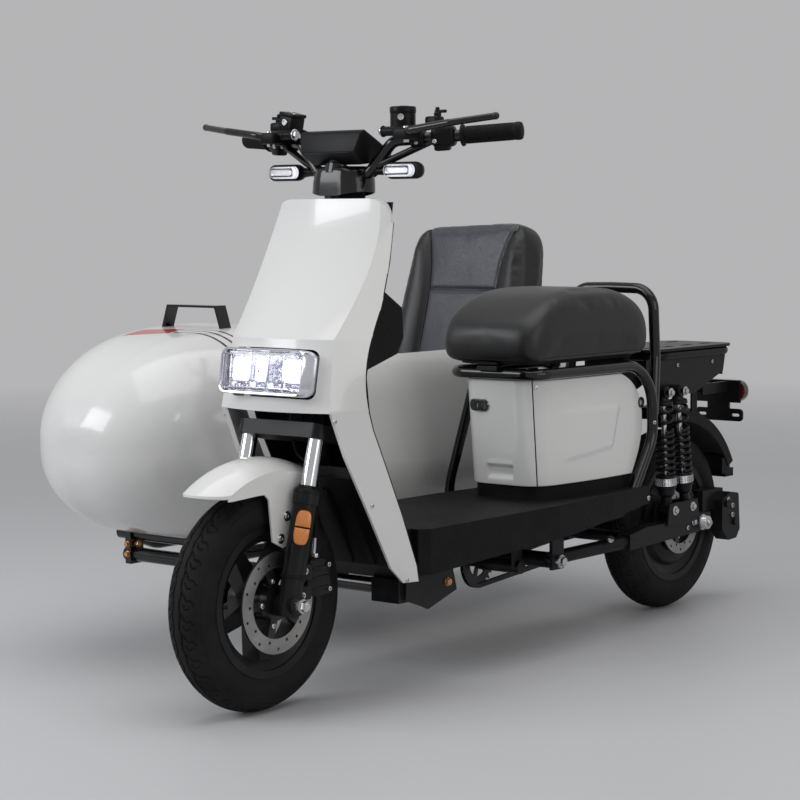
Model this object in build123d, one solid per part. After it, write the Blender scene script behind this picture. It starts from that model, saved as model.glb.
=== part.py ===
from build123d import *
import math
import os

# ---------------------------------------------------------------------------
# Sidecar motorcycle: an electric cargo moped with a sidecar on its right side.
# Millimetres. Working frame: X forward with the rear axle at X = 0, Y to the
# rider's left with the motorcycle's middle plane at Y = 0, Z up from the floor.
# The stored origin is the middle of the footprint on the floor, ROW_X, ROW_Y.
# ---------------------------------------------------------------------------

# Driving dimensions
ROW_X = 650.0
ROW_Y = -271.0
WHEELBASE = 1382.0
TYRE_R = 208.0            # 90/90-10 class tyre
TYRE_W = 84.0
RIM_FLANGE_R = 143.0
RIM_WELL_R = 118.0
RAKE_DEG = 15.0           # fork and steering axis lean back
FORK_OFFSET = 30.0        # steering axis behind the fork legs, square to the legs
LEG_Y = 83.0              # fork leg centre line, each side
FENDER_R = 266.0          # outer radius of the front guard about the axle
AXLE_R = 8.0
AXLE_BORE_R = 8.05
BAR_X = 1120.0            # handlebar, and the turn signals just ahead of it
SIGNAL_X = 1126.0
BAR_HALF = 347.0          # grip end, each side
BAR_Z = 1071.0
SHIELD_WALL = 5.0
BOX_WALL = 4.0
BOX_BOTTOM_Z = 347.0
BOX_TOP_Z = 571.0
BOX_FRONT_LOW = 620.0     # front of the seat box at its bottom and at its top
BOX_FRONT_TOP = 642.0
FLOOR_Z = 318.0           # footboard top
FLOOR_HALF = 165.0
SEAT_TOP_Z = 755.0
SEAT_BOTTOM_Z = 614.0
SEAT_HALF = 125.0
SEAT_TUBE_Z = 585.0       # exposed tube round the seat box
SEAT_TUBE_R = 12.0
SEAT_HINGE_X = 664.0
SEAT_HINGE_Z = 606.0
SWING_X = 546.0           # pivot of the swinging arm
SWING_Z = 184.0
SHOCK_FEET = [(124, 248), (50, 250)]      # X and Z of each spring unit's lower and upper eye
SHOCK_HEADS = [(144, 516), (84, 516)]
SHOCK_Y = 98.0
CRANK_X = 622.0           # crank tube and chain
CRANK_Z = 176.0
CHAIN_Y = -62.0
RING_R = 50.0
COG_R = 34.0
REAR_FENDER_R = 268.0     # outer radius of the rear guard about the axle
POD_Y = -520.0            # sidecar body centre line
POD_HALF = 275.0
POD_WALL = 6.0
POD_BOTTOM_Z = 238.0
POD_TOP_Z = 684.0
POD_RIM_Z = 616.0         # cockpit edge, each side
CAR_WHEEL_X = 190.0       # sidecar wheel leads the rear axle
CAR_WHEEL_Y = -862.0
LADDER_Z = 212.0          # tubes under the sidecar
CROSS_Z = 199.0
FRAME_TUBE_R = 19.0

# Steering axis: passes FORK_OFFSET behind the line of the fork legs
RAKE = math.radians(RAKE_DEG)
AXIS_UP = Vector(-math.sin(RAKE), 0, math.cos(RAKE))
AXIS_BACK = Vector(-math.cos(RAKE), 0, -math.sin(RAKE))
AXLE_F = Vector(WHEELBASE, 0, TYRE_R)


# ------------------------------ helpers ------------------------------------
def cyl_y(x, z, y0, y1, r):
    """Round bar along Y."""
    return Pos(x, (y0 + y1) / 2, z) * Rot(90, 0, 0) * Cylinder(r, abs(y1 - y0))


def cyl_x(y, z, x0, x1, r):
    """Round bar along X."""
    return Pos((x0 + x1) / 2, y, z) * Rot(0, 90, 0) * Cylinder(r, abs(x1 - x0))


def cyl_z(x, y, z0, z1, r):
    """Round bar along Z."""
    return Pos(x, y, (z0 + z1) / 2) * Cylinder(r, abs(z1 - z0))


def rod(a, b, r):
    """Round bar from point a to point b."""
    a, b = Vector(*a), Vector(*b)
    return extrude(Plane(origin=a, z_dir=(b - a)) * Circle(r), (b - a).length)


def block(x0, x1, y0, y1, z0, z1):
    """Box by its limits."""
    return Pos((x0 + x1) / 2, (y0 + y1) / 2, (z0 + z1) / 2) * Box(x1 - x0, y1 - y0, z1 - z0)


def side_plate(points, y0, y1):
    """Outline in X and Z, from y0 to y1."""
    face = Plane.XZ.offset(-y0) * make_face(Polyline(*points, close=True))
    return extrude(face, -(y1 - y0))


def plan_plate(points, z0, z1):
    """Outline in X and Y, from z0 to z1."""
    face = Pos(0, 0, z0) * make_face(Polyline(*points, close=True))
    return extrude(face, z1 - z0)


def pipe(points, bend, r, bore=0.0):
    """Round tube along straight runs joined by arcs of radius bend."""
    path = FilletPolyline(*points, radius=bend)
    start = Plane(origin=path @ 0, z_dir=path % 0)
    solid = sweep(start * Circle(r), path=path)
    return solid - sweep(start * Circle(bore), path=path) if bore else solid


def mirror_y(solid):
    """The same piece on the other side of the middle plane."""
    return mirror(solid, about=Plane.XZ)


def on_axis(up, back=0.0, y=0.0):
    """Point by its height along the fork legs from the axle, its distance behind the legs, and Y."""
    return AXLE_F + AXIS_UP * up + AXIS_BACK * back + Vector(0, y, 0)


def fork_plane(up, back=0.0):
    """Plane square to the steering axis; its X runs forward and its Y to the left."""
    return Plane(origin=on_axis(up, back), x_dir=-AXIS_BACK, z_dir=AXIS_UP)


# ------------------------------ wheels -------------------------------------
def tyre(x, y):
    """Round-shouldered tyre, open towards its rim."""
    half = TYRE_W / 2
    with BuildSketch(Plane.XY) as profile:
        with BuildLine():
            a = Line((RIM_FLANGE_R - 8, -32), (RIM_FLANGE_R + 4, -35))
            b = ThreePointArc(a @ 1, (RIM_FLANGE_R + 28, -half), (TYRE_R - 16, -half + 7))
            c = ThreePointArc(b @ 1, (TYRE_R, 0), (TYRE_R - 16, half - 7))
            d = ThreePointArc(c @ 1, (RIM_FLANGE_R + 28, half), (RIM_FLANGE_R + 4, 35))
            e = Line(d @ 1, (RIM_FLANGE_R - 8, 32))
            f = Line(e @ 1, (RIM_FLANGE_R - 8, 26))
            g = ThreePointArc(f @ 1, (TYRE_R - 16, 0), (RIM_FLANGE_R - 8, -26))
            Line(g @ 1, a @ 0)
        make_face()
    return Pos(x, y, TYRE_R) * revolve(profile.sketch, axis=Axis.Y)


def rim(x, y):
    """Cast wheel: barrel with bead flanges, five tapered spokes and a hub bored for the axle."""
    well, flange = RIM_WELL_R, RIM_FLANGE_R
    points = [(well - 7, -24), (flange - 15, -33), (flange - 15, -37), (flange, -38), (flange + 1, -35.5),
              (flange - 9, -32.3), (flange - 9, -24), (well, -18), (well, 18), (flange - 9, 24),
              (flange - 9, 32.3), (flange + 1, 35.5), (flange, 38), (flange - 15, 37), (flange - 15, 33),
              (well - 7, 24)]
    barrel = revolve(make_face(Polyline(*points, close=True)), axis=Axis.Y)
    hub = cyl_y(0, 0, -40, 40, 34)
    spokes = Part()
    for turn in range(5):
        arm = loft([Plane(origin=(28, 0, 0), z_dir=(1, 0, 0)) * Rectangle(44, 34),
                    Plane(origin=(well - 4, 0, 0), z_dir=(1, 0, 0)) * Rectangle(26, 46)])
        spokes += Rot(0, 72 * turn + 18, 0) * arm
    wheel = barrel + hub + spokes - cyl_y(0, 0, -41, 41, AXLE_BORE_R)
    return Pos(x, y, TYRE_R) * wheel


def brake_disc(x, y0, y1, r_out, r_in, carrier_y):
    """Drilled disc on a flange that reaches in to the hub."""
    disc = cyl_y(0, 0, y0, y1, r_out) - cyl_y(0, 0, y0, y1, r_in)
    for turn in range(5):
        disc += Rot(0, 72 * turn, 0) * block(30, r_in + 2, y0, y1, -9, 9)
    disc += cyl_y(0, 0, carrier_y, y1, 33)
    disc -= cyl_y(0, 0, carrier_y - 1, y1 + 1, AXLE_BORE_R)
    for turn in range(20):
        angle = math.radians(18 * turn)
        r = r_out - (9 if turn % 2 else 20)
        disc -= cyl_y(r * math.cos(angle), r * math.sin(angle), y0, y1, 3)
    return Pos(x, 0, TYRE_R) * disc


def sprocket_teeth(cx, cz, r, teeth, y0, y1, bore):
    """Toothed plate; r is the pitch radius."""
    plate = cyl_y(0, 0, y0, y1, r - 4)
    for turn in range(teeth):
        tooth = side_plate([(r - 6, -4), (r + 4, -1.5), (r + 4, 1.5), (r - 6, 4)], y0, y1)
        plate += Rot(0, 360 / teeth * turn, 0) * tooth
    return Pos(cx, 0, cz) * (plate - cyl_y(0, 0, y0 - 1, y1 + 1, bore))


# ------------------------------ fork ---------------------------------------
def leg_bar(up0, up1, y, r):
    return rod(on_axis(up0, 0, y), on_axis(up1, 0, y), r)


def fork_stanchions():
    return Part() + [leg_bar(150, 330, s * LEG_Y, 15) for s in (-1, 1)]


def fork_lowers():
    legs = Part()
    for s in (-1, 1):
        leg = leg_bar(-24, 185, s * LEG_Y, 22) + leg_bar(185, 208, s * LEG_Y, 25)
        leg -= leg_bar(149, 340, s * LEG_Y, 15)
        leg += cyl_y(WHEELBASE, TYRE_R, s * 64, s * 106, 20)
        leg -= cyl_y(WHEELBASE, TYRE_R, s * 50, s * 110, AXLE_R)
        legs += leg
    return legs


def fork_yoke():
    """Bottom yoke that clamps both legs, with the steering stem."""
    outline = Pos(-FORK_OFFSET / 2, 0, 0) * RectangleRounded(FORK_OFFSET + 44, 2 * LEG_Y + 46, 22)
    yoke = extrude(fork_plane(307) * outline, 28)
    for s in (-1, 1):
        yoke -= leg_bar(300, 330, s * LEG_Y, 15)
    stem = rod(on_axis(310, FORK_OFFSET), on_axis(820, FORK_OFFSET), 14)
    return yoke + stem


def front_axle():
    return cyl_y(WHEELBASE, TYRE_R, -116, 116, AXLE_R) + cyl_y(WHEELBASE, TYRE_R, 106, 118, 13) \
        + cyl_y(WHEELBASE, TYRE_R, -118, -106, 13)


def front_caliper():
    """Two-piston caliper behind the left leg, open where the disc runs through."""
    body = block(WHEELBASE - 128, WHEELBASE - 62, 44, 78, TYRE_R + 2, TYRE_R + 74)
    body -= Pos(WHEELBASE, 0, TYRE_R) * cyl_y(0, 0, 49, 59, 101)
    body += block(WHEELBASE - 66, WHEELBASE - 28, 64, 80, TYRE_R + 40, TYRE_R + 66)
    return body - leg_bar(-24, 208, LEG_Y, 22.5)


def front_fender():
    """Crowned guard over the tyre, rounded at its tip; each side wall runs down as a stay to the leg."""
    foot = FENDER_R - 24
    with BuildSketch(Plane.XY) as profile:
        with BuildLine():
            a = ThreePointArc((foot, -58), (FENDER_R, 0), (foot, 58))
            b = Line(a @ 1, (foot - 2, 54))
            c = ThreePointArc(b @ 1, (FENDER_R - 4, 0), (foot - 2, -54))
            Line(c @ 1, a @ 0)
        make_face()
    arch = Rot(0, -40, 0) * revolve(profile.sketch, axis=Axis.Y, revolution_arc=-80)
    crown = Pos(WHEELBASE, 0, TYRE_R) * arch
    crown &= side_plate([(1600, 402), (1430, 410), (1284, 410), (1284, 500), (1600, 500)], -70, 70)
    wall = side_plate([(1600, 402), (1434, 411), (1416, 411), (1405, 401), (1396, 322), (1368, 308),
                       (1358, 311), (1329, 393), (1327, 419), (1298, 436), (1284, 470), (1284, 500),
                       (1600, 500)], 54, 58)
    wall &= cyl_y(WHEELBASE, TYRE_R, 50, 62, foot + 1)
    plan = Pos(1476, 0, 200) * extrude(Ellipse(68, 62), 300) + block(1200, 1476, -62, 62, 200, 500)
    return (crown + wall + mirror_y(wall)) & plan


# ------------------------------ handlebar ----------------------------------
BAR_KNEE = (BAR_X - 8, 116, 1056)         # the bar sweeps back from here to its end
BAR_TIP = (BAR_X - 103, BAR_HALF - 2, BAR_Z)


def handlebar():
    """Bent bar with a brace, clamped on the stem head."""
    half = [(BAR_X - 8, 0, 992), (BAR_X, 58, 992), BAR_KNEE, BAR_TIP]
    bar = pipe(half, 28, 11)
    brace = rod((BAR_X - 2, 84, 1010), (BAR_X - 36, 190, 1056), 7)
    side = bar + brace
    head = rod(on_axis(820, FORK_OFFSET), on_axis(838, FORK_OFFSET), 26)
    head += rod(on_axis(838, FORK_OFFSET), on_axis(880, FORK_OFFSET - 20), 16)
    return side + mirror_y(side) + head - display()


def grips():
    """Rubber grips, rounded at their ends."""
    knee, tip = Vector(*BAR_KNEE), Vector(*BAR_TIP)
    start, end = knee + (tip - knee) * 0.54, knee + (tip - knee) * 1.01
    plane = Plane(origin=start, z_dir=end - start)
    length = (end - start).length
    grip = extrude(plane * Circle(17), length)
    grip = fillet(grip.edges().group_by(Axis.Y)[-1], 8)
    grip -= extrude(plane.offset(-1) * Circle(11.0), length - 1)
    return Part() + [grip, mirror_y(grip)]


def brake_masters():
    """Clamp, fluid reservoir and lever on each side."""
    clamp = block(BAR_X - 54, BAR_X + 8, 150, 192, 1042, 1078)
    pot = Pos(BAR_X - 6, 141, 1096) * Cylinder(24, 46)
    pot = fillet(pot.edges().group_by(Axis.Z)[-1], 4)
    lever = pipe([(BAR_X + 18, 166, 1066), (BAR_X + 37, 190, 1073), (BAR_X + 30, 280, 1084),
                  (BAR_X + 3, 364, 1094)], 20, 6.5)
    joint = block(BAR_X + 2, BAR_X + 30, 150, 186, 1056, 1076)
    one = clamp + pot + joint + lever - handlebar()
    return Part() + [one, mirror_y(one)]


def display():
    """Instrument housing: a hood ahead and a dial face that slopes back to the rider."""
    hood = side_plate([(1160, 1074), (1170, 1034), (1142, 1012), (1098, 1016), (1074, 1034), (1078, 1046),
                       (1150, 1078)], -80, 80)
    front = make_face(Polyline((-79, 1082), (79, 1082), (77, 1062), (58, 1008), (-58, 1008), (-77, 1062),
                               close=True))
    plane = Plane(origin=(1060, 0, 0), x_dir=(0, 1, 0), z_dir=(1, 0, 0))
    return hood & extrude(plane * front, 120)


def neck_cover():
    """Rounded cover over the stem head, below the instrument."""
    lower = Pos(1120, 0, 965) * RectangleRounded(86, 136, 38)
    upper = Pos(1124, 0, 1026) * RectangleRounded(68, 104, 30)
    cover = loft([lower, upper])
    cover -= block(1000, 1240, -200, 200, 1009, 1100)
    cover -= handlebar() + bar_hose() + mirror_y(bar_hose())
    return cover - rod(on_axis(700, FORK_OFFSET), on_axis(838, FORK_OFFSET), 26.5)


def bar_hose():
    """Hose from the left lever's cylinder into the cover over the stem head."""
    return pipe([(1112, 122, 1084), (1088, 98, 1070), (1078, 72, 1010), (1094, 44, 986)], 14, 3)


def brake_hoses():
    """A hose from each lever's cylinder, and the front caliper's hose below the yoke."""
    caliper_hose = pipe([tuple(on_axis(307, FORK_OFFSET)), (1264, 0, 470), (1260, 44, 440), (1280, 64, 380),
                         (1290, 62, 282)], 14, 3)
    upper = bar_hose() - brake_masters()
    return Part() + [upper, mirror_y(upper), caliper_hose - fork_yoke() - front_caliper()]


def turn_signals():
    """Lamp bodies on short stalks."""
    shell = extrude(RectangleRounded(32, 88, 15), 20, both=True)
    body = Pos(SIGNAL_X - 8, 150, 1000) * Rot(0, 90, 0) * shell
    stalk = cyl_y(SIGNAL_X - 8, 1000, 64, 112, 7)
    one = body + stalk - signal_lens() - handlebar() - neck_cover()
    return Part() + [one, mirror_y(one)]


def signal_lens():
    return Pos(SIGNAL_X - 4, 150, 1000) * Rot(0, 90, 0) * extrude(RectangleRounded(25, 78, 12), 20)


def signal_lenses():
    return Part() + [signal_lens(), mirror_y(signal_lens())]


# ------------------------------ front body ---------------------------------
def shield_section(z, x_front, x_crease, half_crease, x_rear, half_rear, back=0.0):
    """Horizontal slice: bowed front between two creases, flared sides; back adds a straight rear part."""
    with BuildSketch(Plane.XY.offset(z)) as slice_:
        with BuildLine():
            left = Line((x_rear, half_rear), (x_crease, half_crease))
            bow = ThreePointArc(left @ 1, (x_front, 0), (x_crease, -half_crease))
            right = Line(bow @ 1, (x_rear, -half_rear))
            if back:
                Polyline(right @ 1, (x_rear - back, -half_rear), (x_rear - back, half_rear), left @ 0)
            else:
                Line(right @ 1, left @ 0)
        make_face()
    return slice_.sketch


# z, front at the middle, crease X, crease half width, rear edge X, rear edge half width
SHIELD_UPPER = [(948, 1178, 1160, 121, 1140, 143),
                (829, 1230, 1204, 137, 1170, 152),
                (750, 1284, 1254, 133, 1198, 156),
                (690, 1334, 1300, 127, 1230, 158)]
SHIELD_LOWER = [(690, 1334, 1300, 127, 1230, 158),
                (620, 1345, 1314, 131, 1250, 160),
                (556, 1352, 1324, 137, 1242, 160)]
# leg strips: z, front edge X and Y, rear edge X and Y
SHIELD_LEGS = [(560, 1324, 137, 1244, 160), (520, 1306, 137, 1228, 158), (471, 1284, 138, 1202, 157),
               (352, 1214, 139, 1143, 156), (250, 1157, 141, 1098, 155), (219, 1124, 143, 1091, 154)]


def shield_shell(rows, wall):
    outer = loft([shield_section(*row) for row in rows])
    inner = loft([shield_section(z, xf - wall, xc - 0.6 * wall, hc - wall, xr, hr - 1.1 * wall, 60)
                  for z, xf, xc, hc, xr, hr in rows])
    return outer, inner


def shield_corners(wall):
    """What the round top corners of the shield leave out; wall gives the inside of the corners."""
    y, z, r = 98, 903, 45 - wall
    outer = block(1000, 1400, y, 200, z, 960) - cyl_x(y, z, 1000, 1400, r)
    return outer + mirror_y(outer)


def front_shield():
    upper, upper_in = shield_shell(SHIELD_UPPER, SHIELD_WALL)
    lower, lower_in = shield_shell(SHIELD_LOWER, SHIELD_WALL)
    lid = block(1100, 1200, -160, 160, 943, 950)
    upper -= shield_corners(0)
    upper_in -= shield_corners(SHIELD_WALL)
    shell = (upper - (upper_in - lid)) + (lower - lower_in)
    legs = Part()
    slices = []
    for z, xf, yf, xr, yr in SHIELD_LEGS:
        strip = Polyline((xf, yf), (xr, yr), (xr + 3, yr - 9), (xf - 4, yf - 9), close=True)
        slices.append(Pos(0, 0, z) * make_face(strip))
    leg = loft(slices, ruled=True)
    shell = shell + leg + mirror_y(leg)
    shell -= headlight_pocket(2)
    return shell - rod(on_axis(740, FORK_OFFSET), on_axis(820, FORK_OFFSET), 19.5)


HEADLIGHT_TILT = math.radians(8)
HEADLIGHT_PLANE = Plane(origin=(1356, 0, 630), x_dir=(0, 1, 0),
                        z_dir=(math.cos(HEADLIGHT_TILT), 0, math.sin(HEADLIGHT_TILT)))


def headlight_pocket(gap):
    return extrude(HEADLIGHT_PLANE.offset(-60) * RectangleRounded(210 + 2 * gap, 88 + 2 * gap, 16), 90)


def headlight_body():
    """Reflector housing behind the lens."""
    plane = HEADLIGHT_PLANE
    outer = extrude(plane.offset(-46) * RectangleRounded(208, 86, 16), 40)
    return outer - extrude(plane.offset(-40) * RectangleRounded(196, 74, 12), 40)


def headlight_lens():
    lens = extrude(HEADLIGHT_PLANE.offset(-5.5) * RectangleRounded(208, 86, 16), 13)
    return fillet(lens.edges().group_by(Axis((0, 0, 0), HEADLIGHT_PLANE.z_dir))[-1], 6)


# z, edge X, half width, middle of the rear face
INNER_ROWS = [(941, 1138, 136, 1084), (850, 1161, 144, 1112), (678, 1226, 149, 1168), (605, 1240, 152, 1176),
              (520, 1216, 146, 1150), (400, 1156, 143, 1102), (FLOOR_Z, 1116, 142, 1074)]


def inner_slice(z, x_edge, half, x_back, wall):
    with BuildSketch(Plane.XY.offset(z)) as slice_:
        with BuildLine():
            bow = ThreePointArc((x_edge, half - wall), (x_back + wall, 0), (x_edge, -half + wall))
            if wall:
                Polyline(bow @ 1, (x_edge + 20, -half + wall), (x_edge + 20, half - wall), bow @ 0)
            else:
                Line(bow @ 1, bow @ 0)
        make_face()
    return slice_.sketch


def inner_shield():
    """Leg shield on the rider's side with a storage box that stands out of it."""
    outer = loft([inner_slice(*row, 0) for row in INNER_ROWS], ruled=True)
    inner = loft([inner_slice(*row, 5) for row in INNER_ROWS], ruled=True)
    shell = outer - inner
    store = side_plate([(1180, 775), (1122, 772), (1070, 740), (1066, 682), (1086, 652), (1190, 622)],
                       -100, 100)
    store = fillet(store.edges().filter_by(Axis.Y).group_by(Axis.X)[0], 12)
    shell += store - inner
    return shell - rod(on_axis(700, FORK_OFFSET), on_axis(820, FORK_OFFSET), 34)


def belly_panel():
    """Panel behind the front wheel between the shield's legs."""
    panel = side_plate([(1228, 446), (1231, 425), (1190, 352), (1140, 250), (1112, 222), (1102, 222),
                        (1132, 254), (1181, 356), (1220, 424), (1218, 446)], -125, 125)
    for y in (-84, -28, 28, 84):
        panel += side_plate([(1214, 400), (1186, 350), (1136, 252), (1144, 252), (1196, 350), (1220, 400)],
                            y - 6, y + 6)
    return panel


# ------------------------------ floor and seat box --------------------------
def footboard():
    """Flat floor with side skirts, hollow below, and a raised plinth under the seat box."""
    outline = [(1106, -132), (1106, 132), (1087, 132), (1087, 150), (1066, FLOOR_HALF), (640, FLOOR_HALF),
               (420, 148), (240, 126), (240, -126), (420, -148), (640, -FLOOR_HALF), (1066, -FLOOR_HALF),
               (1087, -150), (1087, -132)]
    board = plan_plate(outline, 222, FLOOR_Z)
    hollow = [(1120, -127), (1120, 127), (1082, 127), (1082, 146), (1063, FLOOR_HALF - 5),
              (640, FLOOR_HALF - 5), (420, 143), (230, 120)]
    board -= plan_plate(hollow + [(x, -y) for x, y in reversed(hollow[2:])], 200, FLOOR_Z - 5)
    board -= side_plate([(1200, 226), (1100, 228), (560, 252), (200, 282), (200, 180), (1200, 180)],
                        -300, 300)
    plinth = extrude(Pos(0, 0, FLOOR_Z - 5) * box_outline(6, BOX_FRONT_LOW), BOX_BOTTOM_Z - 1 - FLOOR_Z + 5)
    plinth -= extrude(Pos(0, 0, 200) * box_outline(11, BOX_FRONT_LOW), BOX_BOTTOM_Z - 6 - 200)
    return board - block(250, 600, -80, 80, 200, FLOOR_Z) + plinth


def box_outline(inset, front):
    """Plan of the seat box: flat front at X = front, round front corners and bulged sides."""
    i = inset
    with BuildSketch() as plan:
        with BuildLine():
            face = Line((front - i, -44), (front - i, 44))
            near = ThreePointArc(face @ 1, (front - 16 - 0.7 * i, 82.7 - 0.7 * i), (front - 46, 98 - i))
            left = ThreePointArc(near @ 1, (430, 110 - i), (236 + i, 104 - i))
            rear = Line(left @ 1, (236 + i, -104 + i))
            right = ThreePointArc(rear @ 1, (430, -110 + i), (front - 46, -98 + i))
            ThreePointArc(right @ 1, (front - 16 - 0.7 * i, -82.7 + 0.7 * i), face @ 0)
        make_face()
    return plan.sketch


def box_body(inset, stretch=0.0):
    """Seat box by its plans at the bottom and top and its side view; stretch runs it past both."""
    lean = (BOX_FRONT_TOP - BOX_FRONT_LOW) / (BOX_TOP_Z - BOX_BOTTOM_Z)
    low, high = BOX_BOTTOM_Z - stretch, BOX_TOP_Z + stretch
    body = loft([Pos(0, 0, z) * box_outline(inset, BOX_FRONT_LOW + lean * (z - BOX_BOTTOM_Z))
                 for z in (low, high)])
    i = inset
    side = side_plate([(760, low), (760, high), (330, high), (273 + i, 544), (240 + i, 496), (237 + i, 450),
                       (252 + i, 395), (284 + i, low)], -200, 200)
    return body & side


def box_shell():
    return box_body(0) - box_body(BOX_WALL, 20)


def box_front_panel():
    """Front of the seat box, round to the middle of its corners."""
    return box_shell() & side_plate([(604, 340), (627, 592), (700, 592), (700, 340)], -200, 200)


def box_side_panels():
    """Side panels with a raised field."""
    left = box_shell() & side_plate([(603, 340), (626, 592), (200, 592), (200, 340)], 0, 200)
    field = side_plate([(520, 540), (360, 548), (330, 430), (350, 400), (520, 370)], 106, 112)
    left += field & box_body(-3)
    return Part() + [left, mirror_y(left)]


def seat_tub():
    """Open storage tub inside the seat box."""
    outer = block(286, 590, -82, 82, 347, 571)
    return outer - block(290, 586, -78, 78, 351, 600)


def battery():
    """Battery case, a plain block with a handle."""
    return block(300, 576, -72, 72, 351, 500) + (block(380, 480, -10, 10, 500, 528)
                                                 - block(392, 468, -12, 12, 499, 518))


def seat_cushion():
    side = side_plate([(226, SEAT_BOTTOM_Z), (664, SEAT_BOTTOM_Z), (682, 636), (676, 700), (640, 750),
                       (600, SEAT_TOP_Z + 3), (266, SEAT_TOP_Z - 6), (230, 730), (221, 660)],
                      -SEAT_HALF, SEAT_HALF)
    side = fillet(side.edges().filter_by(Axis.Y).group_by(Axis.Z)[-1], 8)
    plan = extrude(Pos(451.5, 0, 600) * RectangleRounded(461, 2 * SEAT_HALF, 50), 200)
    return side & plan


def seat_base():
    """Seat pan with rubber feet that rest on the frame tube, and the hinge leaf at the front."""
    pan = extrude(Pos(450, 0, 604) * RectangleRounded(400, 200, 40), SEAT_BOTTOM_Z - 604)
    pan += block(640, 664, -22, 22, 604, 610) + cyl_y(SEAT_HINGE_X, SEAT_HINGE_Z, -24, 24, 4.5)
    for x in (300, 560):
        for s in (-1, 1):
            pan += cyl_z(x, s * 96, 598.3, 604, 12)
    return pan


# ------------------------------ frame --------------------------------------
def seat_frame():
    """Exposed tube round the seat box: front bow, side runs and rear legs down to the floor rails."""
    z = SEAT_TUBE_Z
    points = [(650, 0, z), (650, 112, z), (420, 118, z), (220, 118, z), (217, 118, 420), (306, 118, 290)]
    run = pipe(points, [40, 300, 100, 90], SEAT_TUBE_R) - block(200, 400, 90, 150, 200, FLOOR_Z)
    return run + mirror_y(run) + block(654, 670, -26, 26, 592, 601)


def grab_rail():
    """Loop behind the seat."""
    run = pipe([(202, 0, 752), (202, 108, 750), (198, 112, 600), (214, 118, 474)], [48, 60], 12)
    return run + mirror_y(run) - seat_frame()


def main_frame():
    """Head tube, down tube, floor rails, rear rails and the swinging arm's brackets."""
    head = rod(on_axis(356, FORK_OFFSET), on_axis(700, FORK_OFFSET), 24)
    down = pipe([tuple(on_axis(540, FORK_OFFSET + 6)), (1198, 0, 470), (1112, 0, 262)], 200, FRAME_TUBE_R)
    frame = head + down + cyl_y(1112, 262, -110, 110, 16)
    for s in (-1, 1):
        frame += pipe([(1112, s * 95, 262), (330, s * 95, 262), (236, s * 100, 296)], 60, 15)
        frame += block(524, 566, s * 90 - 4, s * 90 + 4, 166, 262)
        frame += block(CRANK_X - 14, CRANK_X + 14, s * 42 - 4, s * 42 + 4, CRANK_Z, 262)
    frame += cyl_y(CRANK_X, 262, -95, 95, 13) + cyl_y(300, 264, -95, 95, 13)
    frame += cyl_y(CRANK_X, CRANK_Z, -54, 54, 14)
    frame -= rod(on_axis(350, FORK_OFFSET), on_axis(710, FORK_OFFSET), 17)
    frame -= cyl_y(SWING_X, SWING_Z, -200, 200, 9)
    return frame - seat_frame()


def swingarm():
    """Two arms from the pivot to the axle, with shock lugs and cross tubes."""
    arm = Part()
    for s in (-1, 1):
        side = rod((SWING_X, s * 62, SWING_Z), (262, s * 100, 196), 15)
        plate = side_plate([(300, 178), (300, 212), (232, 222), (60, 222), (40, 232), (-36, 228),
                            (-36, 190), (120, 184)], s * 98 - 16, s * 98 + 16)
        for ear in (-18, 18):
            lug = s * SHOCK_Y + ear
            plate += side_plate([(154, 216), (146, 264), (28, 266), (20, 216)], lug - 3, lug + 3)
        arm += side + plate
    arm += cyl_y(SWING_X, SWING_Z, -72, 72, 17) + cyl_y(262, 200, -98, 98, 14)
    arm -= cyl_y(SWING_X, SWING_Z, -100, 100, 9)
    arm -= cyl_y(0, TYRE_R, -130, 130, AXLE_R)
    for x, z in SHOCK_FEET:
        arm -= cyl_y(x, z, -130, 130, 5)
    return arm


def pivot_bolt():
    bolt = cyl_y(SWING_X, SWING_Z, -102, 102, 9)
    return bolt + cyl_y(SWING_X, SWING_Z, 94, 104, 14) + cyl_y(SWING_X, SWING_Z, -104, -94, 14)


def rear_shocks():
    """Pairs of spring units: eye, damper body, threaded collar, coil and top eye."""
    units = Part()
    for (x0, z0), (x1, z1) in zip(SHOCK_FEET, SHOCK_HEADS):
        length = math.hypot(x1 - x0, z1 - z0)
        steps = [(0, 0), (11.5, 0), (11.5, 34), (21, 38), (21, 62), (26, 62), (26, 82), (22, 84)]
        coil_from, coil_to, turns = 86, length - 34, 8
        pitch = (coil_to - coil_from) / turns
        for turn in range(turns):
            at = coil_from + pitch * turn
            steps += [(17, at), (24, at + pitch * 0.28), (24, at + pitch * 0.62), (17, at + pitch * 0.92)]
        steps += [(22, coil_to + 4), (22, coil_to + 12), (11, coil_to + 16), (11, length), (0, length)]
        body = revolve(make_face(Plane.XZ * Polyline(*steps, close=True)), axis=Axis.Z)
        lean = math.degrees(math.atan2(x1 - x0, z1 - z0))
        unit = Pos(x0, SHOCK_Y, z0) * Rot(0, lean, 0) * body
        unit += cyl_y(x0, z0, SHOCK_Y - 13, SHOCK_Y + 13, 15) + cyl_y(x1, z1, SHOCK_Y - 13, SHOCK_Y + 13, 14)
        units += Part() + [unit, Pos(0, -2 * SHOCK_Y, 0) * unit]
    return units


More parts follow.
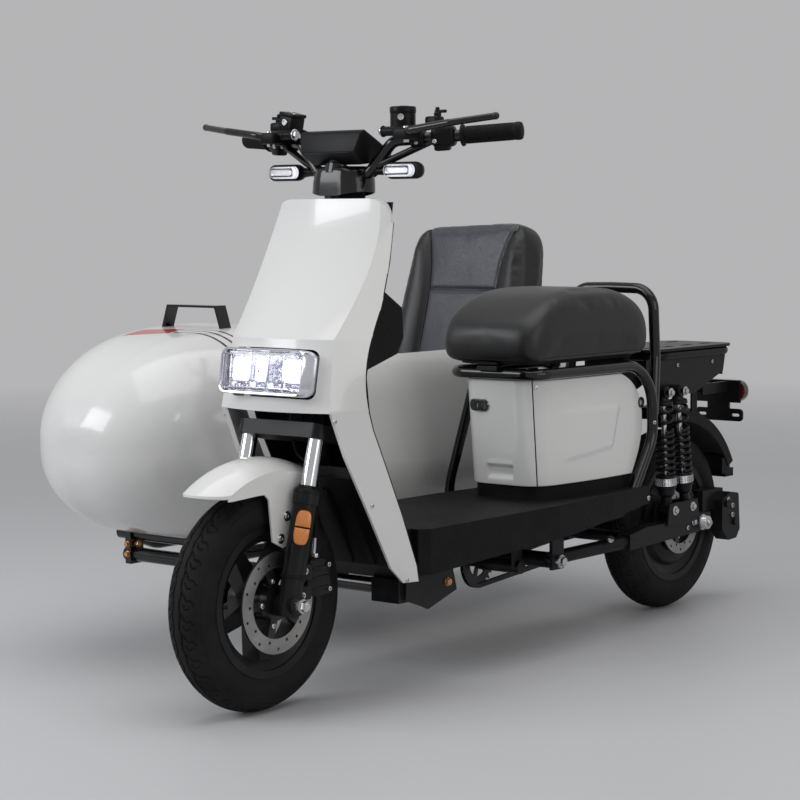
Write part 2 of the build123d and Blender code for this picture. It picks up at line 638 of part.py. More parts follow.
def rear_fender():
    """Black guard above the rear wheel with a bracket at its end."""
    r = REAR_FENDER_R
    with BuildSketch(Plane.XY) as profile:
        with BuildLine():
            a = Line((r - 40, -62), (r - 16, -62))
            b = ThreePointArc(a @ 1, (r, 0), (r - 16, 62))
            c = Polyline(b @ 1, (r - 40, 62), (r - 40, 58), (r - 18, 58))
            d = ThreePointArc(c @ 1, (r - 4, 0), (r - 18, -58))
            Polyline(d @ 1, (r - 40, -58), a @ 0)
        make_face()
    arch = Rot(0, -78, 0) * revolve(profile.sketch, axis=Axis.Y, revolution_arc=-74)
    guard = Pos(0, 0, TYRE_R) * arch
    bracket = block(-262, -226, -30, 30, 292, 336) + block(-288, -250, -24, 24, 282, 302)
    stay = block(-60, -36, 58, 62, 440, 534) + block(-60, -36, 58, 77, 522, 534)
    return guard + bracket + stay + mirror_y(stay)


def rack():
    """Slotted carrier plate with an edge tube on side brackets."""
    plate = extrude(Pos(0, 0, 606) * RectangleRounded(360, 190, 40), 6)
    for x in (-120, -40, 40, 120):
        for y in (-45, 45):
            plate -= extrude(Pos(x, y, 600) * SlotOverall(46, 14), 20)
    rim_half = [(150, 0, 596), (150, 84, 596), (-168, 84, 596), (-168, 0, 596)]
    edge = pipe(rim_half, 40, 10.5)
    rails = edge + mirror_y(edge)
    side = side_plate([(190, 590), (190, 560), (164, 520), (140, 501.5), (60, 501.5), (-20, 505),
                       (-140, 548), (-150, 590)], 77, 83)
    arm = block(-256, -136, 24, 30, 488, 514) + block(-140, -136, 24, 30, 500, 560)
    cross = block(-140, -134, -82, 82, 540, 590)
    return plate + rails + side + mirror_y(side) + cross + arm + mirror_y(arm)


def tail_bracket():
    """Cross strip behind the rack: carries the tail lamp and the number plate, with two slots."""
    strip = block(-262, -256, -60, 60, 462, 516) + block(-262, -256, -30, 30, 418, 462)
    plate = extrude(Pos(-265, 0, 432) * Rot(0, 90, 0) * RectangleRounded(30, 130, 10), 6)
    for y in (-46, 46):
        plate -= extrude(Pos(-280, y, 432) * Rot(0, 90, 0) * SlotOverall(22, 7, rotation=90), 40)
    return strip + plate


def tail_lamp():
    lamp = extrude(Pos(-262, 0, 490) * Rot(0, -90, 0) * RectangleRounded(54, 140, 26), 28)
    return fillet(lamp.edges().group_by(Axis.X)[0], 6)


def rear_caliper():
    """Caliper behind the axle with a short arm forward to the swinging arm's end."""
    body = side_plate([(-112, 176), (-112, 246), (-150, 262), (-186, 256), (-192, 170), (-176, 150),
                       (-140, 148)], 66, 100)
    body = fillet(body.edges().filter_by(Axis.Y), 7)
    body += block(-150, -60, 44, 78, TYRE_R + 14, TYRE_R + 62) + cyl_y(-132, 236, 100, 106, 9) \
        + cyl_y(-168, 190, 100, 106, 9)
    body -= Pos(0, 0, TYRE_R) * cyl_y(0, 0, 49, 59, 84)
    return body - block(-112, 0, 88, 120, 0, 400)


# ------------------------------ chain drive --------------------------------
def chainring():
    """Toothed ring with five arms on the crank spindle."""
    ring = sprocket_teeth(CRANK_X, CRANK_Z, RING_R, 24, CHAIN_Y - 2, CHAIN_Y + 2, 30)
    for turn in range(5):
        arm = Rot(0, 72 * turn, 0) * block(6, 33, CHAIN_Y - 2, CHAIN_Y + 2, -5, 5)
        ring += Pos(CRANK_X, 0, CRANK_Z) * arm
    return ring + cyl_y(CRANK_X, CRANK_Z, -76, -54, 10)


def drive_chain():
    """Closed loop of link plates either side of the teeth, with pins along the straight runs."""
    big, small = (CRANK_X, CRANK_Z, RING_R), (0.0, TYRE_R, COG_R)

    def rim_point(wheel, angle, grow):
        x, z, r = wheel
        return x + (r + grow) * math.cos(angle), z + (r + grow) * math.sin(angle)

    def band(grow):
        dx, dz = small[0] - big[0], small[1] - big[1]
        dist = math.hypot(dx, dz)
        base = math.atan2(dz, dx)
        turn = math.acos((big[2] - small[2]) / dist)
        pts = []
        for sign in (1, -1):
            a = base + sign * turn
            pts.append((rim_point(big, a, grow), rim_point(small, a, grow)))
        far_big = rim_point(big, base + math.pi, grow)
        far_small = rim_point(small, base, grow)
        with BuildSketch(Plane.XZ) as loop:
            with BuildLine():
                a = Line(pts[0][0], pts[0][1])
                b = ThreePointArc(a @ 1, far_small, pts[1][1])
                c = Line(b @ 1, pts[1][0])
                ThreePointArc(c @ 1, far_big, a @ 0)
            make_face()
        return loop.sketch, pts
    outer, _ = band(5)
    inner, _ = band(-4)
    _, runs = band(0)
    chain = Part()
    for y in (CHAIN_Y - 4, CHAIN_Y + 4):
        chain += extrude(Pos(0, y, 0) * (outer - inner), 0.9, both=True)
    for start, end in runs:
        a, b = Vector(start[0], 0, start[1]), Vector(end[0], 0, end[1])
        count = int((b - a).length // 12.7)
        for link in range(3, count - 3):
            p = a + (b - a) * (link / count)
            chain += cyl_y(p.X, p.Z, CHAIN_Y - 4, CHAIN_Y + 4, 3.6)
    return chain


def freewheel_cog():
    return sprocket_teeth(0, TYRE_R, COG_R, 16, CHAIN_Y - 2, CHAIN_Y + 2, 17)


# ------------------------------ sidecar ------------------------------------
# X, half width, bottom Z, top Z and corner radius of the body's slices
POD_ROWS = [(1358, 38, 420, 478, 28), (1338, 110, 364, 538, 80), (1276, 180, 306, 606, 136),
            (1180, 231, 266, 656, 168), (1060, 262, 244, 679, 180),
            (900, POD_HALF, POD_BOTTOM_Z, POD_TOP_Z, 168), (520, POD_HALF, POD_BOTTOM_Z, 680, 136),
            (180, 266, 242, 672, 124), (-50, 222, 268, 640, 110), (-130, 150, 316, 580, 84)]


def pod_slice(x, half, z0, z1, corner, inset):
    plane = Plane(origin=(x, POD_Y, (z0 + z1) / 2), x_dir=(0, 1, 0), z_dir=(1, 0, 0))
    return plane * RectangleRounded(2 * (half - inset), z1 - z0 - 2 * inset, corner - inset)


def pod_body(inset=0.0):
    """Whole body without its cockpit; inset gives the same form inside its wall."""
    first, last = POD_ROWS[0][0], POD_ROWS[-1][0]
    slices = []
    for x, half, z0, z1, corner in POD_ROWS:
        at = x - inset if x == first else x + inset if x == last else x
        slices.append(pod_slice(at, half, z0, z1, corner, inset))
    return loft(slices)


def pod_shell():
    """Moulded body, open at the cockpit."""
    shell = pod_body() - pod_body(POD_WALL)
    cockpit = side_plate([(930, 800), (900, 700), (850, 642), (800, POD_RIM_Z), (0, POD_RIM_Z), (-24, 640),
                          (-40, 800)], POD_Y - 300, POD_Y + 300)
    return shell - cockpit


def pod_floor():
    return block(180, 960, POD_Y - 165, POD_Y + 165, 263, 269)


def sidecar_seat():
    return extrude(Pos(375, POD_Y, 269.3) * RectangleRounded(390, 328, 50), 179)


def sidecar_backrest():
    plane = Plane(origin=(150, POD_Y, 456), x_dir=(0, 1, 0), z_dir=(0.97, 0, 0.24))
    front = plane * (Pos(0, 226) * RectangleRounded(434, 452, 80))
    return extrude(front, -90)


def hood_handle():
    """Flat bar bent into an arch on the deck."""
    z0, z1 = 676, 730
    outer = [(-90, z0), (-72, z1), (72, z1), (90, z0), (84, z0), (67, z1 - 5), (-67, z1 - 5), (-84, z0)]
    plane = Plane(origin=(985, POD_Y, 0), x_dir=(0, 1, 0), z_dir=(1, 0, 0))
    bar = extrude(plane * make_face(Polyline(*outer, close=True)), 30)
    return bar - pod_body()


def sidecar_frame():
    """Ladder under the body, with cross tubes out to the motorcycle and the wheel carrier."""
    z = LADDER_Z
    frame = Part()
    for y in (POD_Y - 130, POD_Y + 130):
        frame += pipe([(1085, y, 244), (1000, y, z), (120, y, z)], 60, 14)
    frame += cyl_y(1085, 244, POD_Y - 150, POD_Y + 190, 14)
    frame += cyl_y(1085, CROSS_Z, POD_Y - 130, 128, 15)
    frame += cyl_y(700, z, POD_Y - 130, -82, 15) + block(686, 714, -104, -86, z, 248)
    frame += cyl_y(CAR_WHEEL_X, z, POD_Y - 150, POD_Y + 130, 16)
    frame += block(CAR_WHEEL_X - 30, CAR_WHEEL_X + 30, POD_Y - 294, POD_Y - 278, 180, 236)
    frame += cyl_y(CAR_WHEEL_X, z, POD_Y - 284, POD_Y - 140, 16)
    for y in (POD_Y - 110, POD_Y + 110, POD_Y + 170):
        frame += block(1066, 1104, y - 8, y + 8, 180, 250)
    for x in (250, 900):
        for y in (POD_Y - 130, POD_Y + 130):
            frame += cyl_z(x, y, z, 256, 16)
    return frame - pod_body() - main_frame()


def frame_clamp():
    """Plate under the floor's front corner that grips the cross tube."""
    plate = side_plate([(1106, 222), (1038, 226), (961, 226), (949, 183), (1039, 156), (1052, 162),
                       (1108, 182)], 128, 136)
    block_ = block(1040, 1120, 60, 128, 176, 222) - cyl_y(1085, CROSS_Z, 0, 128, 15.02)
    return plate + block_


def sidecar_struts():
    """Braces from the seat frame down to the sidecar's ladder."""
    struts = Part()
    for x in (540, 330):
        strut = pipe([(x, -124, 578), (x, -200, 330), (x, -208, LADDER_Z), (x, POD_Y + 140, LADDER_Z)],
                     [200, 34], 11)
        struts += strut
    return struts - seat_frame() - cyl_x(POD_Y + 130, LADDER_Z, 100, 700, 14)


def sidecar_axle():
    return cyl_y(CAR_WHEEL_X, TYRE_R, POD_Y - 294, CAR_WHEEL_Y - 46, AXLE_R) \
        + cyl_y(CAR_WHEEL_X, TYRE_R, CAR_WHEEL_Y - 54, CAR_WHEEL_Y - 42, 13)


def sidecar_fender():
    """White guard over the sidecar wheel, fixed to the body's side."""
    r = 250
    with BuildSketch(Plane.XY) as profile:
        with BuildLine():
            a = Line((r - 60, -52), (r - 20, -52))
            b = ThreePointArc(a @ 1, (r, 0), (r - 20, 52))
            c = Polyline(b @ 1, (r - 60, 52), (r - 60, 48), (r - 22, 48))
            d = ThreePointArc(c @ 1, (r - 4, 0), (r - 22, -48))
            Polyline(d @ 1, (r - 60, -48), a @ 0)
        make_face()
    arch = Rot(0, -20, 0) * revolve(profile.sketch, axis=Axis.Y, revolution_arc=-140)
    return Pos(CAR_WHEEL_X, CAR_WHEEL_Y, TYRE_R) * arch


def rear_wheel():
    """Hub motor: drum with bead flanges and finned covers."""
    well, flange = RIM_WELL_R, RIM_FLANGE_R
    points = [(0, -44), (70, -44), (100, -36), (108, -26), (flange - 15, -33), (flange - 15, -37),
              (flange, -38), (flange + 1, -35.5), (flange - 9, -32.3), (flange - 9, -24), (well, -18), (well, 18),
              (flange - 9, 24), (flange - 9, 32.3), (flange + 1, 35.5), (flange, 38), (flange - 15, 37),
              (flange - 15, 33), (108, 26), (100, 36), (70, 44), (0, 44)]
    drum = revolve(make_face(Polyline(*points, close=True)), axis=Axis.Y)
    return Pos(0, 0, TYRE_R) * (drum - cyl_y(0, 0, -50, 50, AXLE_BORE_R))


def rear_axle():
    nut = cyl_y(0, TYRE_R, 114, 125, 13)
    return cyl_y(0, TYRE_R, -128, 128, AXLE_R) + nut + mirror_y(nut)


NODES = {
    "front_tyre": lambda: tyre(WHEELBASE, 0),
    "front_rim": lambda: rim(WHEELBASE, 0),
    "front_disc": lambda: brake_disc(WHEELBASE, 52, 56, 95, 66, 40.1),
    "rear_tyre": lambda: tyre(0, 0),
    "rear_hub": rear_wheel,
    "rear_disc": lambda: brake_disc(0, 52, 56, 78, 54, 44.1),
    "sidecar_tyre": lambda: tyre(CAR_WHEEL_X, CAR_WHEEL_Y),
    "sidecar_rim": lambda: rim(CAR_WHEEL_X, CAR_WHEEL_Y),
    "fork_stanchions": fork_stanchions,
    "fork_lowers": fork_lowers,
    "fork_yoke": fork_yoke,
    "front_axle": front_axle,
    "front_caliper": front_caliper,
    "front_fender": front_fender,
    "handlebar": handlebar,
    "grips": grips,
    "brake_masters": brake_masters,
    "display": display,
    "neck_cover": neck_cover,
    "turn_signals": turn_signals,
    "signal_lenses": signal_lenses,
    "brake_hoses": brake_hoses,
    "front_shield": front_shield,
    "inner_shield": inner_shield,
    "belly_panel": belly_panel,
    "headlight_body": headlight_body,
    "headlight_lens": headlight_lens,
    "footboard": footboard,
    "box_front_panel": box_front_panel,
    "box_side_panels": box_side_panels,
    "seat_tub": seat_tub,
    "battery": battery,
    "seat_cushion": seat_cushion,
    "seat_base": seat_base,
    "seat_frame": seat_frame,
    "grab_rail": grab_rail,
    "main_frame": main_frame,
    "swingarm": swingarm,
    "pivot_bolt": pivot_bolt,
    "rear_shocks": rear_shocks,
    "rear_fender": rear_fender,
    "rear_axle": rear_axle,
    "rear_caliper": rear_caliper,
    "rack": rack,
    "tail_bracket": tail_bracket,
    "tail_lamp": tail_lamp,
    "chainring": chainring,
    "drive_chain": drive_chain,
    "freewheel_cog": freewheel_cog,
    "pod_shell": pod_shell,
    "pod_floor": pod_floor,
    "sidecar_seat": sidecar_seat,
    "sidecar_backrest": sidecar_backrest,
    "hood_handle": hood_handle,
    "sidecar_frame": sidecar_frame,
    "frame_clamp": frame_clamp,
    "sidecar_struts": sidecar_struts,
    "sidecar_axle": sidecar_axle,
    "sidecar_fender": sidecar_fender,
}

if __name__ == "__main__":
    os.makedirs("parts", exist_ok=True)
    for node, make in NODES.items():
        export_step(Pos(-ROW_X, -ROW_Y, 0) * make(), "parts/" + node + ".step")
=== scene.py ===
import math

import bmesh
import bpy
from bpy.props import FloatProperty, FloatVectorProperty, IntProperty, PointerProperty
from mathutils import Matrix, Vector, noise


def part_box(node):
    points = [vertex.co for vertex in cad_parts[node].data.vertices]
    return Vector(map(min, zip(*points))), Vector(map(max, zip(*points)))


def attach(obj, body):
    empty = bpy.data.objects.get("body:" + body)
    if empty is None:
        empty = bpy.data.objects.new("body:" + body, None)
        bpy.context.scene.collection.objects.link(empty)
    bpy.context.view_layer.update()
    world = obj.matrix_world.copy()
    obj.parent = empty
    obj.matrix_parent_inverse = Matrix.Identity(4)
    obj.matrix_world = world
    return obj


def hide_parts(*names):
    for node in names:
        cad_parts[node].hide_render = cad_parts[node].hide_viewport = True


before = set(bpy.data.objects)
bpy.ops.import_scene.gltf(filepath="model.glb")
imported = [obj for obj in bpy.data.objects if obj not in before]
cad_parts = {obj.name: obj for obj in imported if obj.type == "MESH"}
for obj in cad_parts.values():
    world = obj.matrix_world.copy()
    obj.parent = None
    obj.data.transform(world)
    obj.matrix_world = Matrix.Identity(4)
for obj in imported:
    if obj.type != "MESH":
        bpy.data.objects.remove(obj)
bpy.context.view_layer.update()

bl_info = {
    "name": "Sidecar Moped Dress",
    "version": (1, 0, 0),
    "blender": (4, 5, 0),
    "location": "View3D > Sidebar > Sidecar",
    "description": "Finishes and detailed pieces for an electric cargo moped with a sidecar",
    "category": "Object",
}

# The pieces are laid out in millimetres in the motorcycle's own frame: X forward from the rear
# axle, Y to the rider's left of the middle plane, Z up from the floor.
WHEELBASE = 1382.0
AXLE_Z = 208.0
FRONT_LOW, FRONT_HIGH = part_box("front_tyre")
MIDDLE = Vector((WHEELBASE - 500 * (FRONT_LOW.x + FRONT_HIGH.x), -500 * (FRONT_LOW.y + FRONT_HIGH.y), 0))
CAR_WHEEL = Vector((190.0, -862.0, AXLE_Z))
RAKE = math.radians(15)
LEG_UP = Vector((-math.sin(RAKE), 0, math.cos(RAKE)))
LEG_BACK = Vector((-math.cos(RAKE), 0, -math.sin(RAKE)))
LEFT = Vector((0, 1, 0))
FORWARD = Vector((1, 0, 0))
UP = Vector((0, 0, 1))
POD_Y = -520.0
SHOCKS = [((124, 248), (144, 516)), ((50, 250), (84, 516))]
SHOCK_Y = 98.0


def at(point):
    """Millimetres of the motorcycle's frame to metres of the model."""
    return (Vector(point) - MIDDLE) / 1000


def on_leg(up, back=0.0, y=0.0):
    """Point along the fork legs from the front axle, some way behind them."""
    return Vector((WHEELBASE, y, AXLE_Z)) + LEG_UP * up + LEG_BACK * back


def both_sides(point):
    """The point and its mirror image across the middle plane, each with its side."""
    return [(s, Vector((point[0], s * point[1], point[2]))) for s in (-1, 1)]


# ------------------------------ shaders ------------------------------------
class Wire:
    """A socket of a node tree that takes part in Python expressions."""

    def __init__(self, nodes, socket):
        self.nodes, self.socket = nodes, socket

    def _join(self, operation, other, swap=False):
        kind = "ShaderNodeVectorMath" if self.socket.type in ("RGBA", "VECTOR") else "ShaderNodeMath"
        return self.nodes.node(kind, {"operation": operation}, (other, self) if swap else (self, other))

    def __add__(self, other):
        return self._join("ADD", other)

    def __radd__(self, other):
        return self._join("ADD", other, True)

    def __sub__(self, other):
        return self._join("SUBTRACT", other)

    def __rsub__(self, other):
        return self._join("SUBTRACT", other, True)

    def __mul__(self, other):
        return self._join("MULTIPLY", other)

    def __rmul__(self, other):
        return self._join("MULTIPLY", other, True)

    def __gt__(self, other):
        return self._join("GREATER_THAN", other)

    def __lt__(self, other):
        return self._join("LESS_THAN", other)

    def of(self, operation, *others):
        """Another Math operation on this value."""
        return self.nodes.node("ShaderNodeMath", {"operation": operation}, (self, *others))

    def beside(self, output):
        """Another output of the same node."""
        return Wire(self.nodes, self.socket.node.outputs[output])


class Nodes:
    """Adds nodes to one node tree."""

    def __init__(self, tree):
        self.tree = tree

    def node(self, kind, settings=None, inputs=(), output=0):
        """Adds one node: its settings first, then what goes into its sockets."""
        made = self.tree.nodes.new(kind)
        for key, value in (settings or {}).items():
            setattr(made, key, value)
        for key, value in inputs.items() if isinstance(inputs, dict) else enumerate(inputs):
            self.plug(made.inputs[key], value)
        return Wire(self, made.outputs[output]) if made.outputs else None

    def plug(self, socket, value):
        """Links a wire to a socket, or sets the socket to a value."""
        if isinstance(value, Wire):
            self.tree.links.new(value.socket, socket)
        elif socket.type == "RGBA":
            socket.default_value = (*value, 1)[:4]
        elif socket.type == "VECTOR" and not hasattr(value, "__len__"):
            socket.default_value = (value, value, value)
        else:
            socket.default_value = value


class Finish(Nodes):
    """A procedural material on one Principled shader."""

    def __init__(self, name, **constants):
        self.material = bpy.data.materials.new(name)
        self.material.use_nodes = True
        super().__init__(self.material.node_tree)
        self.shader = self.tree.nodes["Principled BSDF"]
        for socket, value in constants.items():
            self.shader.inputs[socket.replace("_", " ")].default_value = value

    def place(self):
        """Position in metres of the model."""
        return self.node("ShaderNodeTexCoord", output="Object")

    def axes(self):
        """X, Y and Z of the position."""
        x = self.node("ShaderNodeSeparateXYZ", None, (self.place(),))
        return x, x.beside(1), x.beside(2)

    def noise(self, scale, detail=2.0, rough=0.5, stretch=None, warp=0.0):
        """Soft cloud from 0 to 1."""
        where = self.place() * Vector(stretch) if stretch else self.place()
        return self.node("ShaderNodeTexNoise", None,
                         {"Vector": where, "Scale": scale, "Detail": detail, "Roughness": rough,
                          "Distortion": warp}, "Fac")

    def pebbles(self, scale):
        """Height of rounded grains, by the distance from their middles."""
        return self.node("ShaderNodeTexVoronoi", {"feature": "SMOOTH_F1"},
                         {"Vector": self.place(), "Scale": scale}, "Distance")

    def mix(self, share, low, high):
        """Colour between low and high."""
        return self.node("ShaderNodeMix", {"data_type": "RGBA"}, {"Factor": share, 6: low, 7: high}, 2)

    def between(self, value, low, high, start=0.0, end=1.0):
        """Value mapped from low..high to start..end, held at both ends."""
        return self.node("ShaderNodeMapRange", {"clamp": True},
                         {"Value": value, "From Min": low, "From Max": high, "To Min": start, "To Max": end})

    def relief(self, height, distance, strength=1.0, soft_edge=0.0):
        """Bump from a height in 0..1, over rounded edges where soft_edge is given."""
        inputs = {"Height": height, "Distance": distance, "Strength": strength}
        if soft_edge:
            inputs["Normal"] = self.node("ShaderNodeBevel", {"samples": 4}, {"Radius": soft_edge})
        self.feed("Normal", self.node("ShaderNodeBump", None, inputs))

    def feed(self, socket, value):
        """Puts a wire or a value on a socket of the shader."""
        self.plug(self.shader.inputs[socket], value)


def tint(colour, factor):
    """The same hue, darker or lighter."""
    return tuple(min(1.0, channel * factor) for channel in colour)


# marks on the sidecar's deck, in millimetres: the dark bands' middles in X and ends in Y, and the red patch
STRIPE_MIDDLES = (1085, 1063, 1042)
STRIPE_ENDS = (-350, -502)
PATCH_MIDDLE, PATCH_EDGE = 1066, -508
# in metres: the lowest that the deck's marks reach, half a band, half the patch and how far it goes in
DECK_LOW, STRIPE_HALF, PATCH_HALF, PATCH_DEEP = 0.6, 0.0032, 0.032, 0.1


def deck_stripes(f, base, x, y, z):
    """Three thin dark bands across the sidecar's deck and a red patch beside them."""
    on_deck = z > DECK_LOW
    near, far = (at((0, end, 0)).y for end in STRIPE_ENDS)
    for middle in STRIPE_MIDDLES:
        stripe = ((x - at((middle, 0, 0)).x).of("ABSOLUTE") < STRIPE_HALF) * (y < near) * (y > far) * on_deck
        base = f.mix(stripe, base, (0.03, 0.026, 0.028))
    inward = at((0, PATCH_EDGE, 0)).y - y
    lean = x - inward * 0.36 - at((PATCH_MIDDLE, 0, 0)).x
    patch = (lean.of("ABSOLUTE") < PATCH_HALF) * (inward > 0) * (inward < PATCH_DEEP)
    return f.mix(patch * on_deck, base, (0.55, 0.05, 0.06))


def moulded_gloss(name, colour, rough=0.16, peel=0.00012, marks=None, soft_edge=0.0015):
    """Glossy painted plastic: faint orange peel, faint clouding, a little floor dust low down."""
    f = Finish(name, Coat_Weight=0.5, Coat_Roughness=0.04, Specular_IOR_Level=0.5)
    x, y, z = f.axes()
    cloud = f.noise(3.0, 3)
    dust = f.between(z, 0.42, 0.2, 0.0, 0.5) * f.between(f.noise(26, 5), 0.4, 0.75)
    clean = f.mix(f.between(cloud, 0.3, 0.7), tint(colour, 0.985), tint(colour, 1.01))
    if marks:
        clean = marks(f, clean, x, y, z)
    f.feed("Base Color", f.mix(dust * 0.25, clean, (0.55, 0.53, 0.5)))
    f.feed("Roughness", rough + dust * 0.25 + f.noise(40, 2) * 0.05)
    f.relief(f.noise(240, 2) * 0.7 + f.noise(9, 2), peel, 1.0, soft_edge)
    return f.material


def powder_coat(name, colour, rough=0.32, peel=0.0002, coat=0.08, soft_edge=0.0012):
    """Baked coating on metal: pebbled surface, lighter specks where the coat wears, dust where it lies low.
    """
    f = Finish(name, Coat_Weight=coat, Coat_Roughness=0.12, Specular_IOR_Level=0.18)
    z = f.axes()[2]
    patch = f.noise(14, 4)
    speck = f.between(f.noise(170, 3), 0.72, 0.84)
    dust = f.between(z, 0.3, 0.08) * f.between(f.noise(34, 5), 0.45, 0.75)
    base = f.mix(f.between(patch, 0.3, 0.7), tint(colour, 0.75), tint(colour, 1.25))
    base = f.mix(speck * 0.12, base, (0.11, 0.11, 0.115))
    f.feed("Base Color", f.mix(dust * 0.1, base, (0.16, 0.15, 0.14)))
    f.feed("Roughness", rough + (patch - 0.5) * 0.14 + dust * 0.25)
    f.relief(f.noise(900, 3) * 0.5 + f.noise(160, 2), peel, 0.8, soft_edge)
    return f.material


def grained_plastic(name, colour, rough=0.52, grain=420.0, depth=0.0004, soft_edge=0.0015):
    """Moulded black plastic with a leather-like grain and a rubbed sheen."""
    f = Finish(name, Specular_IOR_Level=0.12)
    z = f.axes()[2]
    cell = f.pebbles(grain)
    rub_and_sheen = f.noise(7, 3)
    dust = f.between(z, 0.45, 0.2) * f.between(f.noise(20, 5), 0.45, 0.75)
    base = f.mix(f.between(rub_and_sheen, 0.35, 0.7), tint(colour, 0.85), tint(colour, 1.35))
    f.feed("Base Color", f.mix(dust * 0.03, base, (0.2, 0.19, 0.18)))
    f.feed("Roughness", rough + (rub_and_sheen - 0.5) * 0.2 - cell * 0.12)
    f.relief(f.between(cell, 0.0, 0.6) + f.noise(grain * 2.2, 2) * 0.3, depth, 0.8, soft_edge)
    return f.material


def tyre_rubber(name):
    """Vulcanised rubber, greyer where it meets the road and powdery with dust."""
    f = Finish(name, Specular_IOR_Level=0.12)
    dust = f.between(f.noise(38, 6, 0.65), 0.45, 0.75)
    fine = f.noise(620, 3)
    base = f.mix(f.between(f.noise(11, 3), 0.3, 0.7), (0.007, 0.007, 0.0075), (0.016, 0.0155, 0.0155))
    f.feed("Base Color", f.mix(dust * 0.1, base, (0.1, 0.096, 0.092)))
    f.feed("Roughness", 0.6 + dust * 0.22 + (fine - 0.5) * 0.1)
    f.relief(fine * 0.6 + f.noise(110, 3), 0.0003, 0.8)
    return f.material


def turned_metal(name, colour, rough=0.25, lines=900.0, centre=None, carrier=0.0, wear=0.3):
    """Machined metal with fine lines: round the axle at centre if given, black inside the carrier."""
    f = Finish(name, Metallic=1.0, Specular_IOR_Level=0.5)
    if centre is None:
        line = f.noise(lines, 3, 0.6, (1, 0.05, 1))
    else:
        x, _, z = f.axes()
        dx, dz = x - centre[0], z - centre[2]
        radius = (dx * dx + dz * dz).of("SQRT")
        line = f.node("ShaderNodeTexNoise", {"noise_dimensions": "1D"},
                      {"W": radius, "Scale": lines * 2, "Detail": 3.0}, "Fac")
    smear = f.noise(22, 4)
    base = f.mix(f.between(smear, 0.3, 0.72), tint(colour, 1 - wear), colour)
    if carrier:
        ring = f.between(radius, carrier, carrier + 0.0015)
        base = f.mix(ring, (0.008, 0.008, 0.009), base)
        f.feed("Metallic", ring)
    f.feed("Base Color", base)
    f.feed("Roughness", rough + (line - 0.5) * 0.22 + (smear - 0.5) * 0.16)
    f.relief(line, 0.00008, 0.9)
    return f.material


def polished_chrome(name, colour=(0.82, 0.83, 0.86), rough=0.07):
    """Bright plating with faint smears."""
    f = Finish(name, Metallic=1.0)
    smear = f.noise(16, 4)
    f.feed("Base Color", f.mix(f.between(smear, 0.35, 0.7), tint(colour, 0.92), colour))
    f.feed("Roughness", rough + smear * 0.08 + f.between(f.noise(300, 2), 0.62, 0.8) * 0.12)
    f.relief(f.noise(60, 2), 0.00004, 0.5)
    return f.material


def stitched_hide(name, colour, rough=0.38, grain=520.0, crease=0.0009, worn_and_painted_sheen=(0.1, 0.1, 0.11), sheen=0.15):
    """Upholstery vinyl or leather: fine pebbled grain, shallow creases, a soft rubbed shine; its lighter
    patches in the base colour are partly rubbed wear and partly a painted sheen.
    """
    f = Finish(name, Specular_IOR_Level=0.5, Sheen_Weight=sheen, Sheen_Roughness=0.4)
    pebble = f.pebbles(grain)
    fold = f.noise(16, 4, 0.55, None, 0.8)
    rub_and_sheen = f.between(f.noise(5, 3), 0.4, 0.72)
    # painted sheen: the base colour turns lighter in rubbed patches, partly wear and partly a sheen painted
    # in place of light on the hide
    f.feed("Base Color", f.mix(rub_and_sheen * 0.35, colour, worn_and_painted_sheen) if worn_and_painted_sheen else colour)
    f.feed("Roughness", rough - rub_and_sheen * 0.08 + (pebble - 0.3) * 0.1)
    f.relief(f.between(pebble, 0.0, 0.55) * 0.22 + fold, crease, 0.55)
    return f.material


def clear_lens(name, colour=(0.97, 0.98, 1.0), rough=0.02):
    """Clear or frosted lens plastic."""
    f = Finish(name, Transmission_Weight=1.0, IOR=1.49, Coat_Weight=0.3)
    f.feed("Base Color", f.mix(f.between(f.noise(30, 3), 0.3, 0.7), tint(colour, 0.97), colour))
    f.feed("Roughness", rough + f.between(f.noise(120, 3), 0.66, 0.8) * 0.08)
    return f.material


def amber_with_painted_glow(name, colour):
    """Amber reflector: a prism grid under a clear skin, with a painted glow from its emission, though a
    reflector is no lamp.
    """
    # painted glow: an emission strength on a reflector, with an emission colour that follows the prism grid
    f = Finish(name, Coat_Weight=1.0, Coat_Roughness=0.03, Specular_IOR_Level=0.6, Emission_Strength=0.6)
    x, _, z = f.axes()
    grid = (x * 1900).of("SINE").of("ABSOLUTE") * (z * 1900).of("SINE").of("ABSOLUTE")
    f.feed("Base Color", f.mix(grid, tint(colour, 0.45), colour))
    f.feed("Roughness", 0.18 + grid * 0.1)
    f.feed("Emission Color", f.mix(grid, tint(colour, 0.05), tint(colour, 0.2)))
    f.relief(grid, 0.0006, 0.6)
    return f.material


def lit_white(name, colour, strength):
    """Lamp element that glows unevenly."""
    f = Finish(name, Specular_IOR_Level=0.5, Emission_Strength=strength)
    glow = f.between(f.noise(26, 3), 0.25, 0.7)
    f.feed("Base Color", f.mix(glow, tint(colour, 0.7), colour))
    f.feed("Emission Color", f.mix(glow, tint(colour, 0.45), colour))
    f.feed("Roughness", 0.2 + glow * 0.2)
    return f.material


PAINTS = {}             # each finish by its name, filled by the operator of the finishes


# ------------------------------ mesh making --------------------------------
def arc(a, b, c, steps):
    """Points of the circle through a, b and c, from a to c."""
    ax, ay, bx, by, cx, cy = *a, *b, *c
    d = 2 * (ax * (by - cy) + bx * (cy - ay) + cx * (ay - by))
    a2, b2, c2 = ax * ax + ay * ay, bx * bx + by * by, cx * cx + cy * cy
    ux = (a2 * (by - cy) + b2 * (cy - ay) + c2 * (ay - by)) / d
    uy = (a2 * (cx - bx) + b2 * (ax - cx) + c2 * (bx - ax)) / d
    r = math.hypot(ax - ux, ay - uy)
    turn = [math.atan2(q - uy, p - ux) for p, q in (a, b, c)]
    full = 2 * math.pi
    sweep = (turn[2] - turn[0]) % full
    if (turn[1] - turn[0]) % full > sweep:
        sweep -= full
    return [(ux + r * math.cos(turn[0] + sweep * i / steps), uy + r * math.sin(turn[0] + sweep * i / steps))
            for i in range(steps + 1)]


